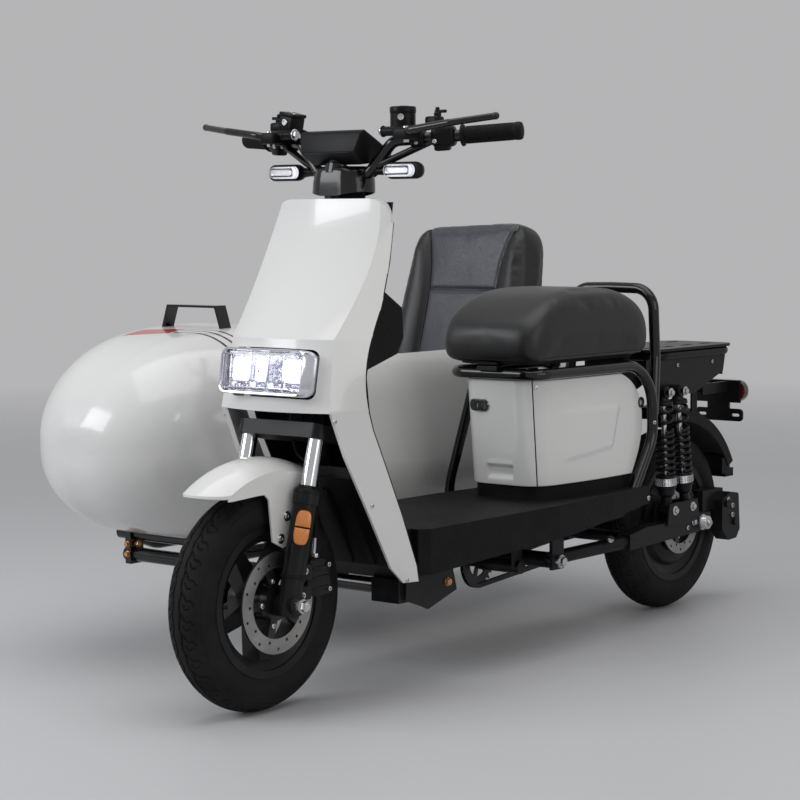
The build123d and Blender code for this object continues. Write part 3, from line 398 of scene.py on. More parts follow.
def rounded_rect(width, height, radius, steps=5):
    """Outline of a rounded rectangle, anticlockwise."""
    points = []
    for cx, cy, start in ((1, 1, 0), (-1, 1, 90), (-1, -1, 180), (1, -1, 270)):
        for i in range(steps + 1):
            a = math.radians(start + 90 * i / steps)
            points.append((cx * (width / 2 - radius) + radius * math.cos(a),
                           cy * (height / 2 - radius) + radius * math.sin(a)))
    return points


def bent_path(corners, bend, steps=6):
    """Straight runs through the corners, joined by arcs."""
    corners = [Vector(c) for c in corners]
    path = [corners[0]]
    for before, here, after in zip(corners, corners[1:], corners[2:]):
        a, b = (before - here).normalized(), (after - here).normalized()
        half = a.angle(b) / 2
        reach = min(bend / math.tan(half), (before - here).length * 0.49, (after - here).length * 0.49)
        for i in range(steps + 1):
            t = i / steps
            p, q = here + a * reach * (1 - t), here + b * reach * t
            path.append(p.lerp(here, t).lerp(here.lerp(q, t), t) if t not in (0, 1) else (p if t == 0 else q))
    path.append(corners[-1])
    return path


def square_to(axis):
    """Two directions at right angles to an axis and to each other."""
    side = axis.orthogonal().normalized()
    return side, axis.cross(side)


def spoke(side, other, angle):
    """Direction at an angle in radians, turning from side to other."""
    return side * math.cos(angle) + other * math.sin(angle)


class Maker:
    """Collects faces in millimetres of the motorcycle's frame and turns them into one piece."""

    def __init__(self):
        self.bm = bmesh.new()

    def faces(self, points, loops):
        """Faces from loops of numbers into the points."""
        verts = [self.bm.verts.new(p) for p in points]
        for loop in loops:
            self.bm.faces.new([verts[i] for i in loop])

    def skin(self, rows, close_rows=False, close_ring=False, cap=False):
        """Quads between rows of equal length."""
        n, m = len(rows), len(rows[0])
        points = [p for row in rows for p in row]
        loops = []
        for i in range(n if close_rows else n - 1):
            for j in range(m if close_ring else m - 1):
                a, b = i * m + j, i * m + (j + 1) % m
                c, d = (i + 1) % n * m + (j + 1) % m, (i + 1) % n * m + j
                loops.append((a, b, c, d))
        if cap:
            loops += [tuple(range(m))[::-1], tuple(range((n - 1) * m, n * m))]
        self.faces(points, loops)

    def turned(self, profile, centre, axis, segments=32):
        """Turns a profile of (radius, distance along the axis); a radius of 0 closes it."""
        axis, centre = Vector(axis).normalized(), Vector(centre)
        side, other = square_to(axis)
        spokes = [spoke(side, other, math.radians(360.0 * i / segments)) for i in range(segments)]
        self.skin([[centre + axis * t + way * max(r, 0.02) for way in spokes] for r, t in profile],
                  close_ring=True)

    def tube(self, path, radius, sides=12, closed=False):
        """Round tube along a path of points; a list of radii has one for each point."""
        path = [Vector(p) for p in path]
        n = len(path)
        rows, up = [], None
        for i, p in enumerate(path):
            before = path[i - 1] if (i or closed) else p
            after = path[(i + 1) % n] if (i < n - 1 or closed) else p
            run = (after - before).normalized()
            if up is None:
                up = run.orthogonal()
            up = (up - run * up.dot(run)).normalized()
            side = run.cross(up)
            r = radius[i] if hasattr(radius, "__len__") else radius
            rows.append([p + spoke(up, side, 2 * math.pi * k / sides) * r for k in range(sides)])
        self.skin(rows, close_rows=closed, close_ring=True, cap=not closed)

    def coil(self, start, end, radius, turns, wire, flat_ends=0.8, per_turn=28):
        """Spring wire from start to end, with closer turns at its ends."""
        axis, length = (end - start).normalized(), (end - start).length
        side, other = square_to(axis)
        count = int(turns * per_turn)
        path = []
        for i in range(count + 1):
            turn, t = turns * i / count, i / count
            edge = min(turn, turns - turn)
            if edge < flat_ends:
                slow = (flat_ends - edge) / flat_ends * 0.35 / turns
                t += slow * flat_ends * 0.5 * (-1 if turn > turns / 2 else 1)
            path.append(start + axis * length * t + spoke(side, other, 2 * math.pi * turn) * radius)
        self.tube(path, wire, 10)

    def slab(self, outline, origin, right, up, depth, edge=0.0):
        """Plate from a 2-D outline, thickened along right x up, with bevelled edges."""
        origin, right, up = Vector(origin), Vector(right).normalized(), Vector(up).normalized()
        out = right.cross(up)
        corners = list(zip(outline[-1:] + outline[:-1], outline, outline[1:] + outline[:1]))

        def ring(inset, lift):
            points = []
            for (ax, ay), (x, y), (bx, by) in corners:
                if inset:
                    ex, ey, gx, gy = x - ax, y - ay, bx - x, by - y
                    le, lg = math.hypot(ex, ey) or 1, math.hypot(gx, gy) or 1
                    nx, ny = -(ey / le + gy / lg), ex / le + gx / lg
                    ln = math.hypot(nx, ny) or 1
                    x, y = x + nx / ln * inset, y + ny / ln * inset
                points.append(origin + right * x + up * y + out * lift)
            return points
        levels = [(0, 0), (0, depth)]
        if edge:
            low = edge * 0.3
            levels = [(edge, 0), (low, low), (0, edge), (0, depth - edge), (low, depth - low), (edge, depth)]
        self.skin([ring(*level) for level in levels], close_ring=True, cap=True)

    def hull(self, points, edge=2.0, rounds=3):
        """Solid round the points, with rounded edges."""
        part = bmesh.new()
        for p in points:
            part.verts.new(p)
        bmesh.ops.convex_hull(part, input=part.verts)
        bmesh.ops.delete(part, geom=[v for v in part.verts if not v.link_faces], context="VERTS")
        bmesh.ops.dissolve_limit(part, angle_limit=0.02, verts=part.verts, edges=part.edges)
        bmesh.ops.bevel(part, geom=part.edges[:], offset=edge, segments=rounds, profile=0.5,
                        affect="EDGES", clamp_overlap=True)
        part.verts.index_update()
        self.faces([v.co.copy() for v in part.verts],
                   [[v.index for v in face.verts] for face in part.faces])
        part.free()

    def brick(self, centre, size, right=FORWARD, up=UP, edge=2.0):
        """Rounded block by its middle, its size along right, out and up, and its turn."""
        right, up = Vector(right).normalized(), Vector(up).normalized()
        out = up.cross(right).normalized()
        self.hull([Vector(centre) + right * size[0] * i / 2 + out * size[1] * j / 2 + up * size[2] * k / 2
                   for i in (-1, 1) for j in (-1, 1) for k in (-1, 1)], edge)

    def prism(self, outline, y0, y1, edge=2.0):
        """Convex plate from points in X and Z, between two distances from the middle plane."""
        self.hull([(x, y, z) for x, z in outline for y in (y0, y1)], edge)

    def ball(self, centre, radius):
        """Round end of a lever."""
        self.turned([(radius * math.sin(math.radians(a)), -radius * math.cos(math.radians(a)))
                     for a in range(0, 181, 18)], centre, UP, 20)

    def hex_bolt(self, point, direction, across=10.0, height=6.0, washer=0.0):
        """Hexagon head, on a washer where its radius is given."""
        point, direction = Vector(point), Vector(direction).normalized()
        if washer:
            self.turned([(0, 0), (washer, 0), (washer, 1.2), (washer - 0.4, 1.6), (0, 1.6)], point,
                        direction, 20)
            point = point + direction * 1.6
        r = across / 1.732
        self.turned([(r, 0), (r, height * 0.75), (r * 0.86, height), (0, height)], point, direction, 6)
        self.turned([(r * 0.88, height), (r * 0.5, height + 0.2), (0, height + 0.1)], point, direction, 12)

    def cap_screw(self, point, direction, radius=5.0, height=4.0, domed=True):
        """Button or cylinder head with a hexagon socket."""
        point, direction = Vector(point), Vector(direction).normalized()
        low, shoulder = (0.35, 0.75) if domed else (0.88, 1.0)
        hole = radius * 0.5
        self.turned([(radius, 0), (radius, height * low), (radius * 0.9, height * shoulder),
                     (radius * 0.62, height), (hole, height)], point, direction, 20)
        self.turned([(hole, height), (radius * 0.46, height * 0.25), (0, height * 0.25)], point, direction, 6)

    def done(self, name, body, *finishes, slot=None, replaces=None, sharp=35.0, weld=0.01, subdivide=0,
             keep=False, wall=0.0):
        """Closes the piece: in metres of the model, riding on its body unless the caller keeps it back."""
        if weld:
            bmesh.ops.remove_doubles(self.bm, verts=self.bm.verts, dist=weld)
        bmesh.ops.recalc_face_normals(self.bm, faces=self.bm.faces)
        for v in self.bm.verts:
            v.co = at(v.co)
        for face in self.bm.faces:
            face.smooth = True
        limit = math.radians(sharp)
        for edge in self.bm.edges:
            edge.smooth = not (len(edge.link_faces) == 2 and edge.calc_face_angle(0) > limit)
        mesh = bpy.data.meshes.new(name)
        self.bm.to_mesh(mesh)
        self.bm.free()
        piece = bpy.data.objects.new(name, mesh)
        bpy.context.scene.collection.objects.link(piece)
        for finish in finishes:
            mesh.materials.append(PAINTS[finish])
        if wall:
            mod = piece.modifiers.new("wall", "SOLIDIFY")
            mod.thickness, mod.offset = wall / 1000, -1
            mod = piece.modifiers.new("rim", "BEVEL")
            mod.width, mod.segments, mod.limit_method = wall * 0.0003, 2, "ANGLE"
            bake(piece)
        if subdivide:
            mod = piece.modifiers.new("round", "SUBSURF")
            mod.levels = mod.render_levels = subdivide
            bake(piece)
        if not keep:
            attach(piece, body)
        if replaces:
            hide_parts(replaces)
        return piece


def bake(piece):
    """Applies every modifier of a piece to its mesh."""
    graph = bpy.context.evaluated_depsgraph_get()
    mesh = bpy.data.meshes.new_from_object(piece.evaluated_get(graph), depsgraph=graph)
    old = piece.data
    piece.modifiers.clear()
    piece.data = mesh
    bpy.data.meshes.remove(old)
    for polygon in mesh.polygons:
        polygon.use_smooth = True


CLOTH_FRAMES = 20
CLOTH_QUALITY = 4
CLOTH_STIFFNESS = 12


def stuffed(piece, voxel, pressure, cap, settle=2):
    """Swells a pad as a sewn cover over foam does, and keeps the result in its mesh."""
    mod = piece.modifiers.new("even", "REMESH")
    mod.mode, mod.voxel_size = "VOXEL", voxel
    bake(piece)
    rest = [v.co.copy() for v in piece.data.vertices]
    cloth = piece.modifiers.new("cover", "CLOTH")
    cover = cloth.settings
    cover.use_pressure, cover.uniform_pressure_force = True, pressure
    cover.effector_weights.gravity = 0
    cover.quality = CLOTH_QUALITY
    cover.tension_stiffness = cover.compression_stiffness = CLOTH_STIFFNESS
    cloth.point_cache.frame_start, cloth.point_cache.frame_end = 1, CLOTH_FRAMES
    for number in range(1, CLOTH_FRAMES + 1):
        bpy.context.scene.frame_set(number)
    bake(piece)
    for v, old in zip(piece.data.vertices, rest):
        move = v.co - old
        if move.length > cap:
            v.co = old + move * (cap / move.length)
    bpy.context.scene.frame_set(1)
    smooth = piece.modifiers.new("settle", "SMOOTH")
    smooth.iterations, smooth.factor = settle, 0.5
    bake(piece)


# ------------------------------ settings -----------------------------------
class SidecarPaint(bpy.types.PropertyGroup):
    body_colour: FloatVectorProperty(name="Body paint", description="Colour of the moulded panels",
                                     subtype="COLOR", size=3, min=0, max=1, default=(0.82, 0.815, 0.8))
    hide_colour: FloatVectorProperty(name="Sidecar hide", description="Colour of the sidecar's seat centre",
                                     subtype="COLOR", size=3, min=0, max=1, default=(0.042, 0.044, 0.056))
    amber: FloatVectorProperty(name="Reflector", description="Colour of the side reflectors",
                               subtype="COLOR", size=3, min=0, max=1, default=(0.95, 0.28, 0.02))
    floor_colour: FloatVectorProperty(name="Floor", description="Colour of the studio floor",
                                      subtype="COLOR", size=3, min=0, max=1, default=(0.6, 0.6, 0.61))


class SidecarSizes(bpy.types.PropertyGroup):
    tread_depth: FloatProperty(name="Tread depth", description="Depth of the tyre grooves in millimetres",
                               default=3.6, min=0.5, max=6)
    seat_swell: FloatProperty(name="Seat swell", description="Most that a seat cover may swell",
                              default=0.012, min=0.0, max=0.03, unit="LENGTH")
    spring_turns: IntProperty(name="Spring turns", description="Turns of each rear spring",
                              default=9, min=4, max=16)


PITCH = (0.006, 0.006, 0.0065)
INK = (0.008, 0.008, 0.0085)
DISC_GREY = (0.4, 0.39, 0.38)


def finishes(chosen):
    """How each finish is made, and with what values."""
    white = tuple(chosen.body_colour)
    return {
        "shield_white": (moulded_gloss, white),
        "shell_white": (moulded_gloss, tint(white, 0.96), 0.2, 0.0003, deck_stripes),
        "gloss_black": (powder_coat, PITCH, 0.14, 0.0001, 0.6),
        "satin_black": (powder_coat, INK, 0.36),
        "cast_black": (powder_coat, INK, 0.4, 0.0003),
        "grained_black": (grained_plastic, PITCH, 0.4),
        "smooth_black": (grained_plastic, INK, 0.34, 900, 0.00015),
        "mat_black": (grained_plastic, PITCH, 0.62, 260, 0.0005),
        "rubber": (tyre_rubber,),
        "grip_rubber": (grained_plastic, INK, 0.6, 700, 0.0003),
        "disc_front": (turned_metal, DISC_GREY, 0.36, 900, at((WHEELBASE, 0, AXLE_Z)), 0.066),
        "disc_rear": (turned_metal, DISC_GREY, 0.36, 900, at((0, 0, AXLE_Z)), 0.054),
        "chrome": (polished_chrome,),
        "bright_zinc": (turned_metal, (0.7, 0.7, 0.72), 0.22, 500),
        "brass": (turned_metal, (0.72, 0.4, 0.2), 0.28, 500),
        "alloy": (turned_metal, (0.72, 0.72, 0.74), 0.28, 400),
        "chain": (turned_metal, (0.06, 0.058, 0.055), 0.38, 400, None, 0.0, 0.5),
        # the fourth colour of each hide is that of its lighter rubbed patches: partly wear, partly a painted
        # sheen
        "seat_vinyl": (stitched_hide, INK, 0.42, 900, 0.0006, (0.015, 0.015, 0.016), 0.06),
        "car_hide": (stitched_hide, tuple(chosen.hide_colour), 0.34, 560, 0.0022, (0.075, 0.078, 0.098)),
        "car_side": (stitched_hide, (0.005, 0.005, 0.006), 0.42, 560, 0.0014, (0.012, 0.012, 0.014), 0.04),
        "piping": (stitched_hide, (0.003, 0.003, 0.0035), 0.36, 900, 0.0004, None),
        # the reflectors' finish carries a painted glow
        "amber": (amber_with_painted_glow, tuple(chosen.amber)),
        "lens": (clear_lens,),
        "frosted": (clear_lens, (0.93, 0.94, 0.98), 0.22),
        "signal_light": (lit_white, (0.92, 0.92, 0.98), 1.1),
        "lamp_light": (lit_white, (0.93, 0.94, 1.0), 1.6),
        "mirror_facet": (polished_chrome, (0.86, 0.86, 0.93), 0.05),
        "tail_red": (clear_lens, (0.12, 0.004, 0.006), 0.12),
        "tail_glow": (lit_white, (0.12, 0.006, 0.006), 0.05),
        "battery_case": (grained_plastic, (0.03, 0.03, 0.033), 0.42, 700, 0.0002),
        "glass_black": (moulded_gloss, (0.01, 0.01, 0.012), 0.06, 0.00002),
    }


DRESSED = {
    "shield_white": "front_shield front_fender box_front_panel box_side_panels",
    "shell_white": "pod_shell sidecar_fender",
    "gloss_black": "seat_frame grab_rail sidecar_struts handlebar hood_handle sidecar_frame neck_cover",
    "satin_black": "fork_lowers fork_yoke front_caliper rear_caliper brake_masters swingarm main_frame rack "
                   "tail_bracket frame_clamp rear_shocks",
    "cast_black": "front_rim rear_hub sidecar_rim",
    "grained_black": "inner_shield belly_panel rear_fender pod_floor",
    "mat_black": "footboard seat_tub seat_base",
    "smooth_black": "display turn_signals",
    "rubber": "front_tyre rear_tyre sidecar_tyre",
    "grip_rubber": "grips brake_hoses",
    "disc_front": "front_disc",
    "disc_rear": "rear_disc",
    "chrome": "fork_stanchions",
    "bright_zinc": "front_axle rear_axle sidecar_axle pivot_bolt",
    "chain": "chainring drive_chain freewheel_cog",
    "battery_case": "battery",
    "seat_vinyl": "seat_cushion",
    "car_hide": "sidecar_seat sidecar_backrest",
    "frosted": "signal_lenses",
    "lens": "headlight_lens",
    "mirror_facet": "headlight_body",
    "tail_red": "tail_lamp",
}


class SIDECAR_OT_paints(bpy.types.Operator):
    """Makes every finish and puts it on the solids that keep their shape"""
    bl_idname = "sidecar.paints"
    bl_label = "Finishes"

    def execute(self, context):
        for name, (make, *values) in finishes(context.scene.sidecar_paint).items():
            PAINTS[name] = make(name, *values)
        for name, nodes in DRESSED.items():
            for node in nodes.split():
                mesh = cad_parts[node].data
                mesh.materials.clear()
                mesh.materials.append(PAINTS[name])
        return {"FINISHED"}


# ------------------------------ wheels --------------------------------------
TREAD_HALF = 34.5       # half the width of the tread
TREAD_TURNS = 34        # repeats of its pattern round the tyre
TREAD_STEPS = 24        # faces to a repeat
# shares of half the tread: the zigzag's middle line, its swing, half its width, and where the shoulder starts
ZIGZAG_LINE, ZIGZAG_SWING, ZIGZAG_HALF, SHOULDER = 0.2, 0.07, 0.055, 0.34
# the slanted cuts of a repeat: where each starts, its lean, how far out it goes and half its width
CUTS = ((0.0, 0.9, 0.95, 0.075), (0.5, 0.55, 0.78, 0.05))


def tread_cut(across, around):
    """Depth of the tyre's grooves, 0 to 1, at a place across the tread (-1..1) and around it (0..1)."""
    side = abs(across)
    if side > 1:
        return 0.0
    wave = abs((around * TREAD_TURNS) % 1 * 2 - 1)
    cut = max(0.0, 1 - abs(side - ZIGZAG_LINE - ZIGZAG_SWING * wave) / ZIGZAG_HALF)
    if side > SHOULDER:
        past = side - SHOULDER
        shift = 0.0 if across > 0 else 0.5
        for start, lean, reach, half in CUTS:
            turn = (around * TREAD_TURNS + shift + start + past * lean + 0.09 * math.sin(side * 14)) % 1
            fade = min(1.0, past * 14, (reach - side) * 12)
            if fade > 0:
                cut = max(cut, fade * max(0.0, 1 - min(turn, 1 - turn) / half))
    return min(1.0, cut * 1.6)


def treaded_tyre(name, body, x, y, node, depth, flip=False):
    """Tyre with a zigzag groove each side of its middle and slanted cuts over the shoulders."""
    wall = arc((139, -34), (171, -42), (193, -TREAD_HALF), 9)
    crown = arc((193, -TREAD_HALF), (208, 0), (193, TREAD_HALF), 34)
    far = [(r, -t) for r, t in reversed(wall)]
    inside = [(134, 30), (150, 32), (176, 26), (186, 0), (176, -26), (150, -32), (134, -30)]
    profile = wall + crown[1:] + far[1:] + inside
    first, last = len(wall) - 1, len(wall) - 1 + len(crown) - 1
    segments = TREAD_TURNS * TREAD_STEPS
    rows = []
    for i in range(segments):
        a = 2 * math.pi * i / segments
        ring = []
        for j, (r, t) in enumerate(profile):
            if first < j < last:
                r -= depth * tread_cut(t / TREAD_HALF * (-1 if flip else 1), i / segments)
            ring.append(Vector((x + r * math.cos(a), y + t, AXLE_Z + r * math.sin(a))))
        rows.append(ring)
    m = Maker()
    m.skin(rows, close_rows=True, close_ring=True)
    for s in (-1, 1):
        for r, t in ((152, 38.4), (183, 39.4)):
            low, high = t * s - 0.5 * s, t * s + 0.7 * s
            m.turned([(r - 1.6, low), (r - 1, high), (r + 1, high), (r + 1.6, low)], (x, y, AXLE_Z), LEFT, 96)
    m.done(name, body, "rubber", slot="tyre", replaces=node, sharp=28, weld=0)


class SIDECAR_OT_tyres(bpy.types.Operator):
    """Treaded tyres of the three wheels"""
    bl_idname = "sidecar.tyres"
    bl_label = "Treaded tyres"

    def execute(self, context):
        depth = context.scene.sidecar_sizes.tread_depth
        treaded_tyre("front_tyre_tread", "front_wheel", WHEELBASE, 0, "front_tyre", depth)
        treaded_tyre("rear_tyre_tread", "rear_wheel", 0, 0, "rear_tyre", depth, flip=True)
        treaded_tyre("sidecar_tyre_tread", "sidecar_wheel", CAR_WHEEL.x, CAR_WHEEL.y, "sidecar_tyre", depth)
        return {"FINISHED"}


# ------------------------------ rear springs --------------------------------
class SIDECAR_OT_springs(bpy.types.Operator):
    """Rear spring units: coil, threaded collar, damper and eyes"""
    bl_idname = "sidecar.springs"
    bl_label = "Rear springs"

    def execute(self, context):
        turns = context.scene.sidecar_sizes.spring_turns
        black, silver = Maker(), Maker()
        for (x0, z0), (x1, z1) in SHOCKS:
            for s in (-1, 1):
                foot, head = Vector((x0, s * SHOCK_Y, z0)), Vector((x1, s * SHOCK_Y, z1))
                axis, length = (head - foot).normalized(), (head - foot).length
                side, other = square_to(axis)
                for centre, r in ((foot, 14.5), (head, 13.5)):
                    black.turned([(r - 8, -13), (r - 1, -13), (r, -12), (r, 12), (r - 1, 13), (r - 8, 13)],
                                 centre, LEFT, 28)
                black.turned([(0, 4), (11, 6), (11, 30), (17, 35), (19, 38), (19, 50), (22.5, 51), (23, 53),
                              (23, 55), (19, 56), (19, 75), (22.5, 76), (22.8, 78), (22, 80), (9, 81)],
                             foot, axis, 32)
                silver.turned([(19.3, 56)] + [(23.6 if i % 2 else 22.5, 56.5 + 1.4 * i) for i in range(14)]
                              + [(19.3, 75.5)], foot, axis, 48)
                for i in range(24):
                    out = spoke(side, other, 2 * math.pi * i / 24)
                    silver.slab([(-1.2, -8.5), (1.2, -8.5), (1.2, 8.5), (-1.2, 8.5)],
                                foot + axis * 66 + out * 22.8, axis.cross(out), axis, 1.0)
                close = foot + axis * (length * 0.66)
                black.coil(foot + axis * 82, close, 18.6, turns * 0.72, 4.1)
                black.coil(close, foot + axis * (length - 27), 18.6, turns * 0.3, 3.9, flat_ends=0.1)
                silver.turned([(6, 80), (6, length - 20)], foot, axis, 18)
                black.turned([(8, length - 30), (21.5, length - 29), (22, length - 26), (21, length - 21),
                              (14, length - 18), (11, length - 8), (8, length)], foot, axis, 32)
                for end in (foot, head):
                    silver.turned([(0, 0), (10.5, 0), (10.5, 1.6), (9, 2), (0, 2)], end + LEFT * s * 21,
                                  LEFT * s, 24)
                    silver.hex_bolt(end + LEFT * s * 23, LEFT * s, 11.6, 5)
        black.done("spring_units", "chassis", "satin_black", replaces="rear_shocks")
        silver.done("spring_collars", "chassis", "alloy")
        return {"FINISHED"}


# ------------------------------ seats ----------------------------------------
class SIDECAR_OT_bench(bpy.types.Operator):
    """The rider's bench cushion with its welted hem"""
    bl_idname = "sidecar.bench"
    bl_label = "Bench cushion"

    def execute(self, context):
        m = Maker()
        side = [(222, 612), (262, 609), (640, 608), (668, 611), (680, 624), (684, 648), (677, 676),
                (658, 701), (628, 722), (580, 744), (520, 755), (460, 757), (385, 756), (345, 752),
                (300, 741), (262, 722), (234, 696), (218, 660)]
        cx, cz = 453, 683
        # distance from the middle, then how much of the outline is left there: its length, top and foot
        plan = [(60, 1, 1, 1), (88, 1, 1, 1), (104, 0.985, 0.985, 1), (115, 0.95, 0.92, 1),
                (122, 0.9, 0.8, 0.97), (125, 0.85, 0.66, 0.9)]
        stations = [(-y, *k) for y, *k in reversed(plan)] + [(-20, 1, 1, 1), (20, 1, 1, 1)] + plan
        m.skin([[Vector((cx + (x - cx) * k, y, cz + (z - cz) * (over if z > cz else under))) for x, z in side]
                for y, k, over, under in stations], close_ring=True, cap=True)
        pad = m.done("bench_cushion", "seat", "seat_vinyl", slot="seat_vinyl", subdivide=2, keep=True)
        stuffed(pad, 0.006, 3.0, context.scene.sidecar_sizes.seat_swell * 0.3, settle=9)
        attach(pad, "seat")
        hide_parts("seat_cushion")
        m = Maker()
        m.tube([Vector((451 + x, y, 616)) for x, y in rounded_rect(420, 237, 40, 12)], 2.6, 8, closed=True)
        m.done("bench_welt", "seat", "piping")
        return {"FINISHED"}


BACK_FOOT = Vector((147.0, POD_Y, 456.0))
BACK_TILT = math.radians(14)
BACK_SEAM_V = 286.0


def back_point(u, v, w):
    """Point of the backrest: u to the left, v up its face, w out of its face."""
    up = Vector((-math.sin(BACK_TILT), 0, math.cos(BACK_TILT)))
    out = Vector((math.cos(BACK_TILT), 0, math.sin(BACK_TILT)))
    return BACK_FOOT + LEFT * u + up * v + out * w


def along(keys, v):
    """Value at v on straight runs between (v, value) pairs."""
    for (v0, w0), (v1, w1) in zip(keys, keys[1:]):
        if v <= v1:
            return w0 + (w1 - w0) * max(0.0, v - v0) / (v1 - v0)
    return keys[-1][1]


def back_half_width(v):
    """Half width of the backrest at a height up its face."""
    return along([(0, 200), (120, 203), (240, 196), (320, 187), (380, 180), (404, 176), (424, 169),
                  (440, 158), (452, 142), (458, 124)], v)


def panel_half_width(v):
    """Half width of the centre panel between the two long seams."""
    return along([(0, 112), (120, 108), (210, 105), (290, 103), (350, 108), (400, 119), (450, 136)], v)


def hump(value, low, high):
    """Rises from 0 at low to 1 halfway, and falls back to 0 at high."""
    return max(0.0, math.sin(math.pi * min(1.0, max(0.0, (value - low) / (high - low)))))


class SIDECAR_OT_armchair(bpy.types.Operator):
    """The sidecar's seat and backrest with their seams and piping"""
    bl_idname = "sidecar.armchair"
    bl_label = "Sidecar seat"

    def execute(self, context):
        swell = context.scene.sidecar_sizes.seat_swell
        m = Maker()
        heights = [0, 14, 50, 120, 200, 280, 340, 380, 404, 424, 440, 452, 458]
        rows = []
        for depth, inset in ((-84, 20), (-84, 6), (-78, 0), (-46, -2), (-16, 0), (-5, 5), (-1, 18)):
            ring = []
            for s in (1, -1):
                for v in (heights if s > 0 else reversed(heights)):
                    half = back_half_width(v) - inset
                    lift = v + (inset if v < 60 else -inset if v > 400 else 0) * 0.5
                    ring.append(back_point(s * half, max(2.0, lift + max(0, v - 250) * s * 0.022), depth))
            rows.append(ring)
        m.skin(rows, close_ring=True, cap=True)
        back = m.done("sidecar_back_pad", "chassis", "car_side", "car_hide", slot="car_leather", subdivide=1,
                      keep=True)
        stuffed(back, 0.005, 4.0, swell * 0.5)
        up, out = back_point(0, 1, 0) - BACK_FOOT, back_point(0, 0, 1) - BACK_FOOT
        mesh = back.data
        origin = at(BACK_FOOT)
        for v in mesh.vertices:
            d = (v.co - origin) * 1000
            u, t, w = d.y, d.dot(up), d.dot(out)
            if w < -40:
                continue
            panel, half = panel_half_width(t), back_half_width(min(t, 400))
            seam = math.exp(-((abs(u) - panel) / 5.0) ** 2)
            if abs(u) < panel:
                cross = math.exp(-((t - BACK_SEAM_V) / 5.0) ** 2)
                crown = 5 * hump(t, BACK_SEAM_V, 462) + 7 * hump(t, -20, BACK_SEAM_V)
                lift = crown * (1 - (u / panel) ** 2) + 1.2 * noise.noise(v.co * 16) - 6.0 * max(seam, cross)
            else:
                share = (abs(u) - panel) / max(1.0, half - panel)
                lift = 15 * hump(share, 0, 1) ** 0.8 * min(1.0, max(0.0, (470 - t) / 90)) \
                    + noise.noise(v.co * 14) - 6.0 * seam
            v.co += out * lift * min(1.0, (w + 40) / 30) / 1000
        for polygon in mesh.polygons:
            d = (polygon.center - origin) * 1000
            inside = abs(d.y) < panel_half_width(d.dot(up)) and d.dot(out) > -26
            polygon.material_index = 1 if inside else 0
        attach(back, "chassis")
        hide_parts("sidecar_backrest")
        m = Maker()
        for s in (-1, 1):
            m.tube([back_point(s * panel_half_width(v), v, 1.0 - max(0, v - 400) * 0.12)
                    for v in range(10, 436, 8)], 2.2, 8)
        m.tube([back_point(u, BACK_SEAM_V, -1.5) for u in range(-102, 103, 6)], 1.5, 8)
        m.done("back_piping", "chassis", "piping")
        m = Maker()
        rows = []
        for z, inset in ((271, 10), (274, 3), (300, 0), (408, 0), (430, 6), (438, 18), (440, 44)):
            k = 1 - inset / 160
            rows.append([Vector((380 + x * k, POD_Y + y * k, z)) for x, y in rounded_rect(366, 312, 56, 8)])
        m.skin(rows, close_ring=True, cap=True)
        base = m.done("sidecar_seat_pad", "chassis", "car_hide", slot="car_leather", subdivide=1, keep=True)
        stuffed(base, 0.006, 4.0, swell * 0.5)
        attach(base, "chassis")
        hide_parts("sidecar_seat")
        m = Maker()
        m.tube([Vector((380 + x, POD_Y + y, 424)) for x, y in rounded_rect(372, 318, 58, 10)], 2.4, 8,
               closed=True)
        m.done("seat_welt", "chassis", "piping")
        return {"FINISHED"}


# ------------------------------ lamps ----------------------------------------
LAMP_TILT = math.radians(8)
LAMP_OUT = Vector((math.cos(LAMP_TILT), 0, math.sin(LAMP_TILT)))
LAMP_UP = Vector((-math.sin(LAMP_TILT), 0, math.cos(LAMP_TILT)))
LAMP_MIDDLE = Vector((1356.0, 0.0, 630.0))


def lamp_point(u, v, w):
    """Point of the headlight: u to the left, v up its face, w out of its face."""
    return LAMP_MIDDLE + LEFT * u + LAMP_UP * v + LAMP_OUT * w


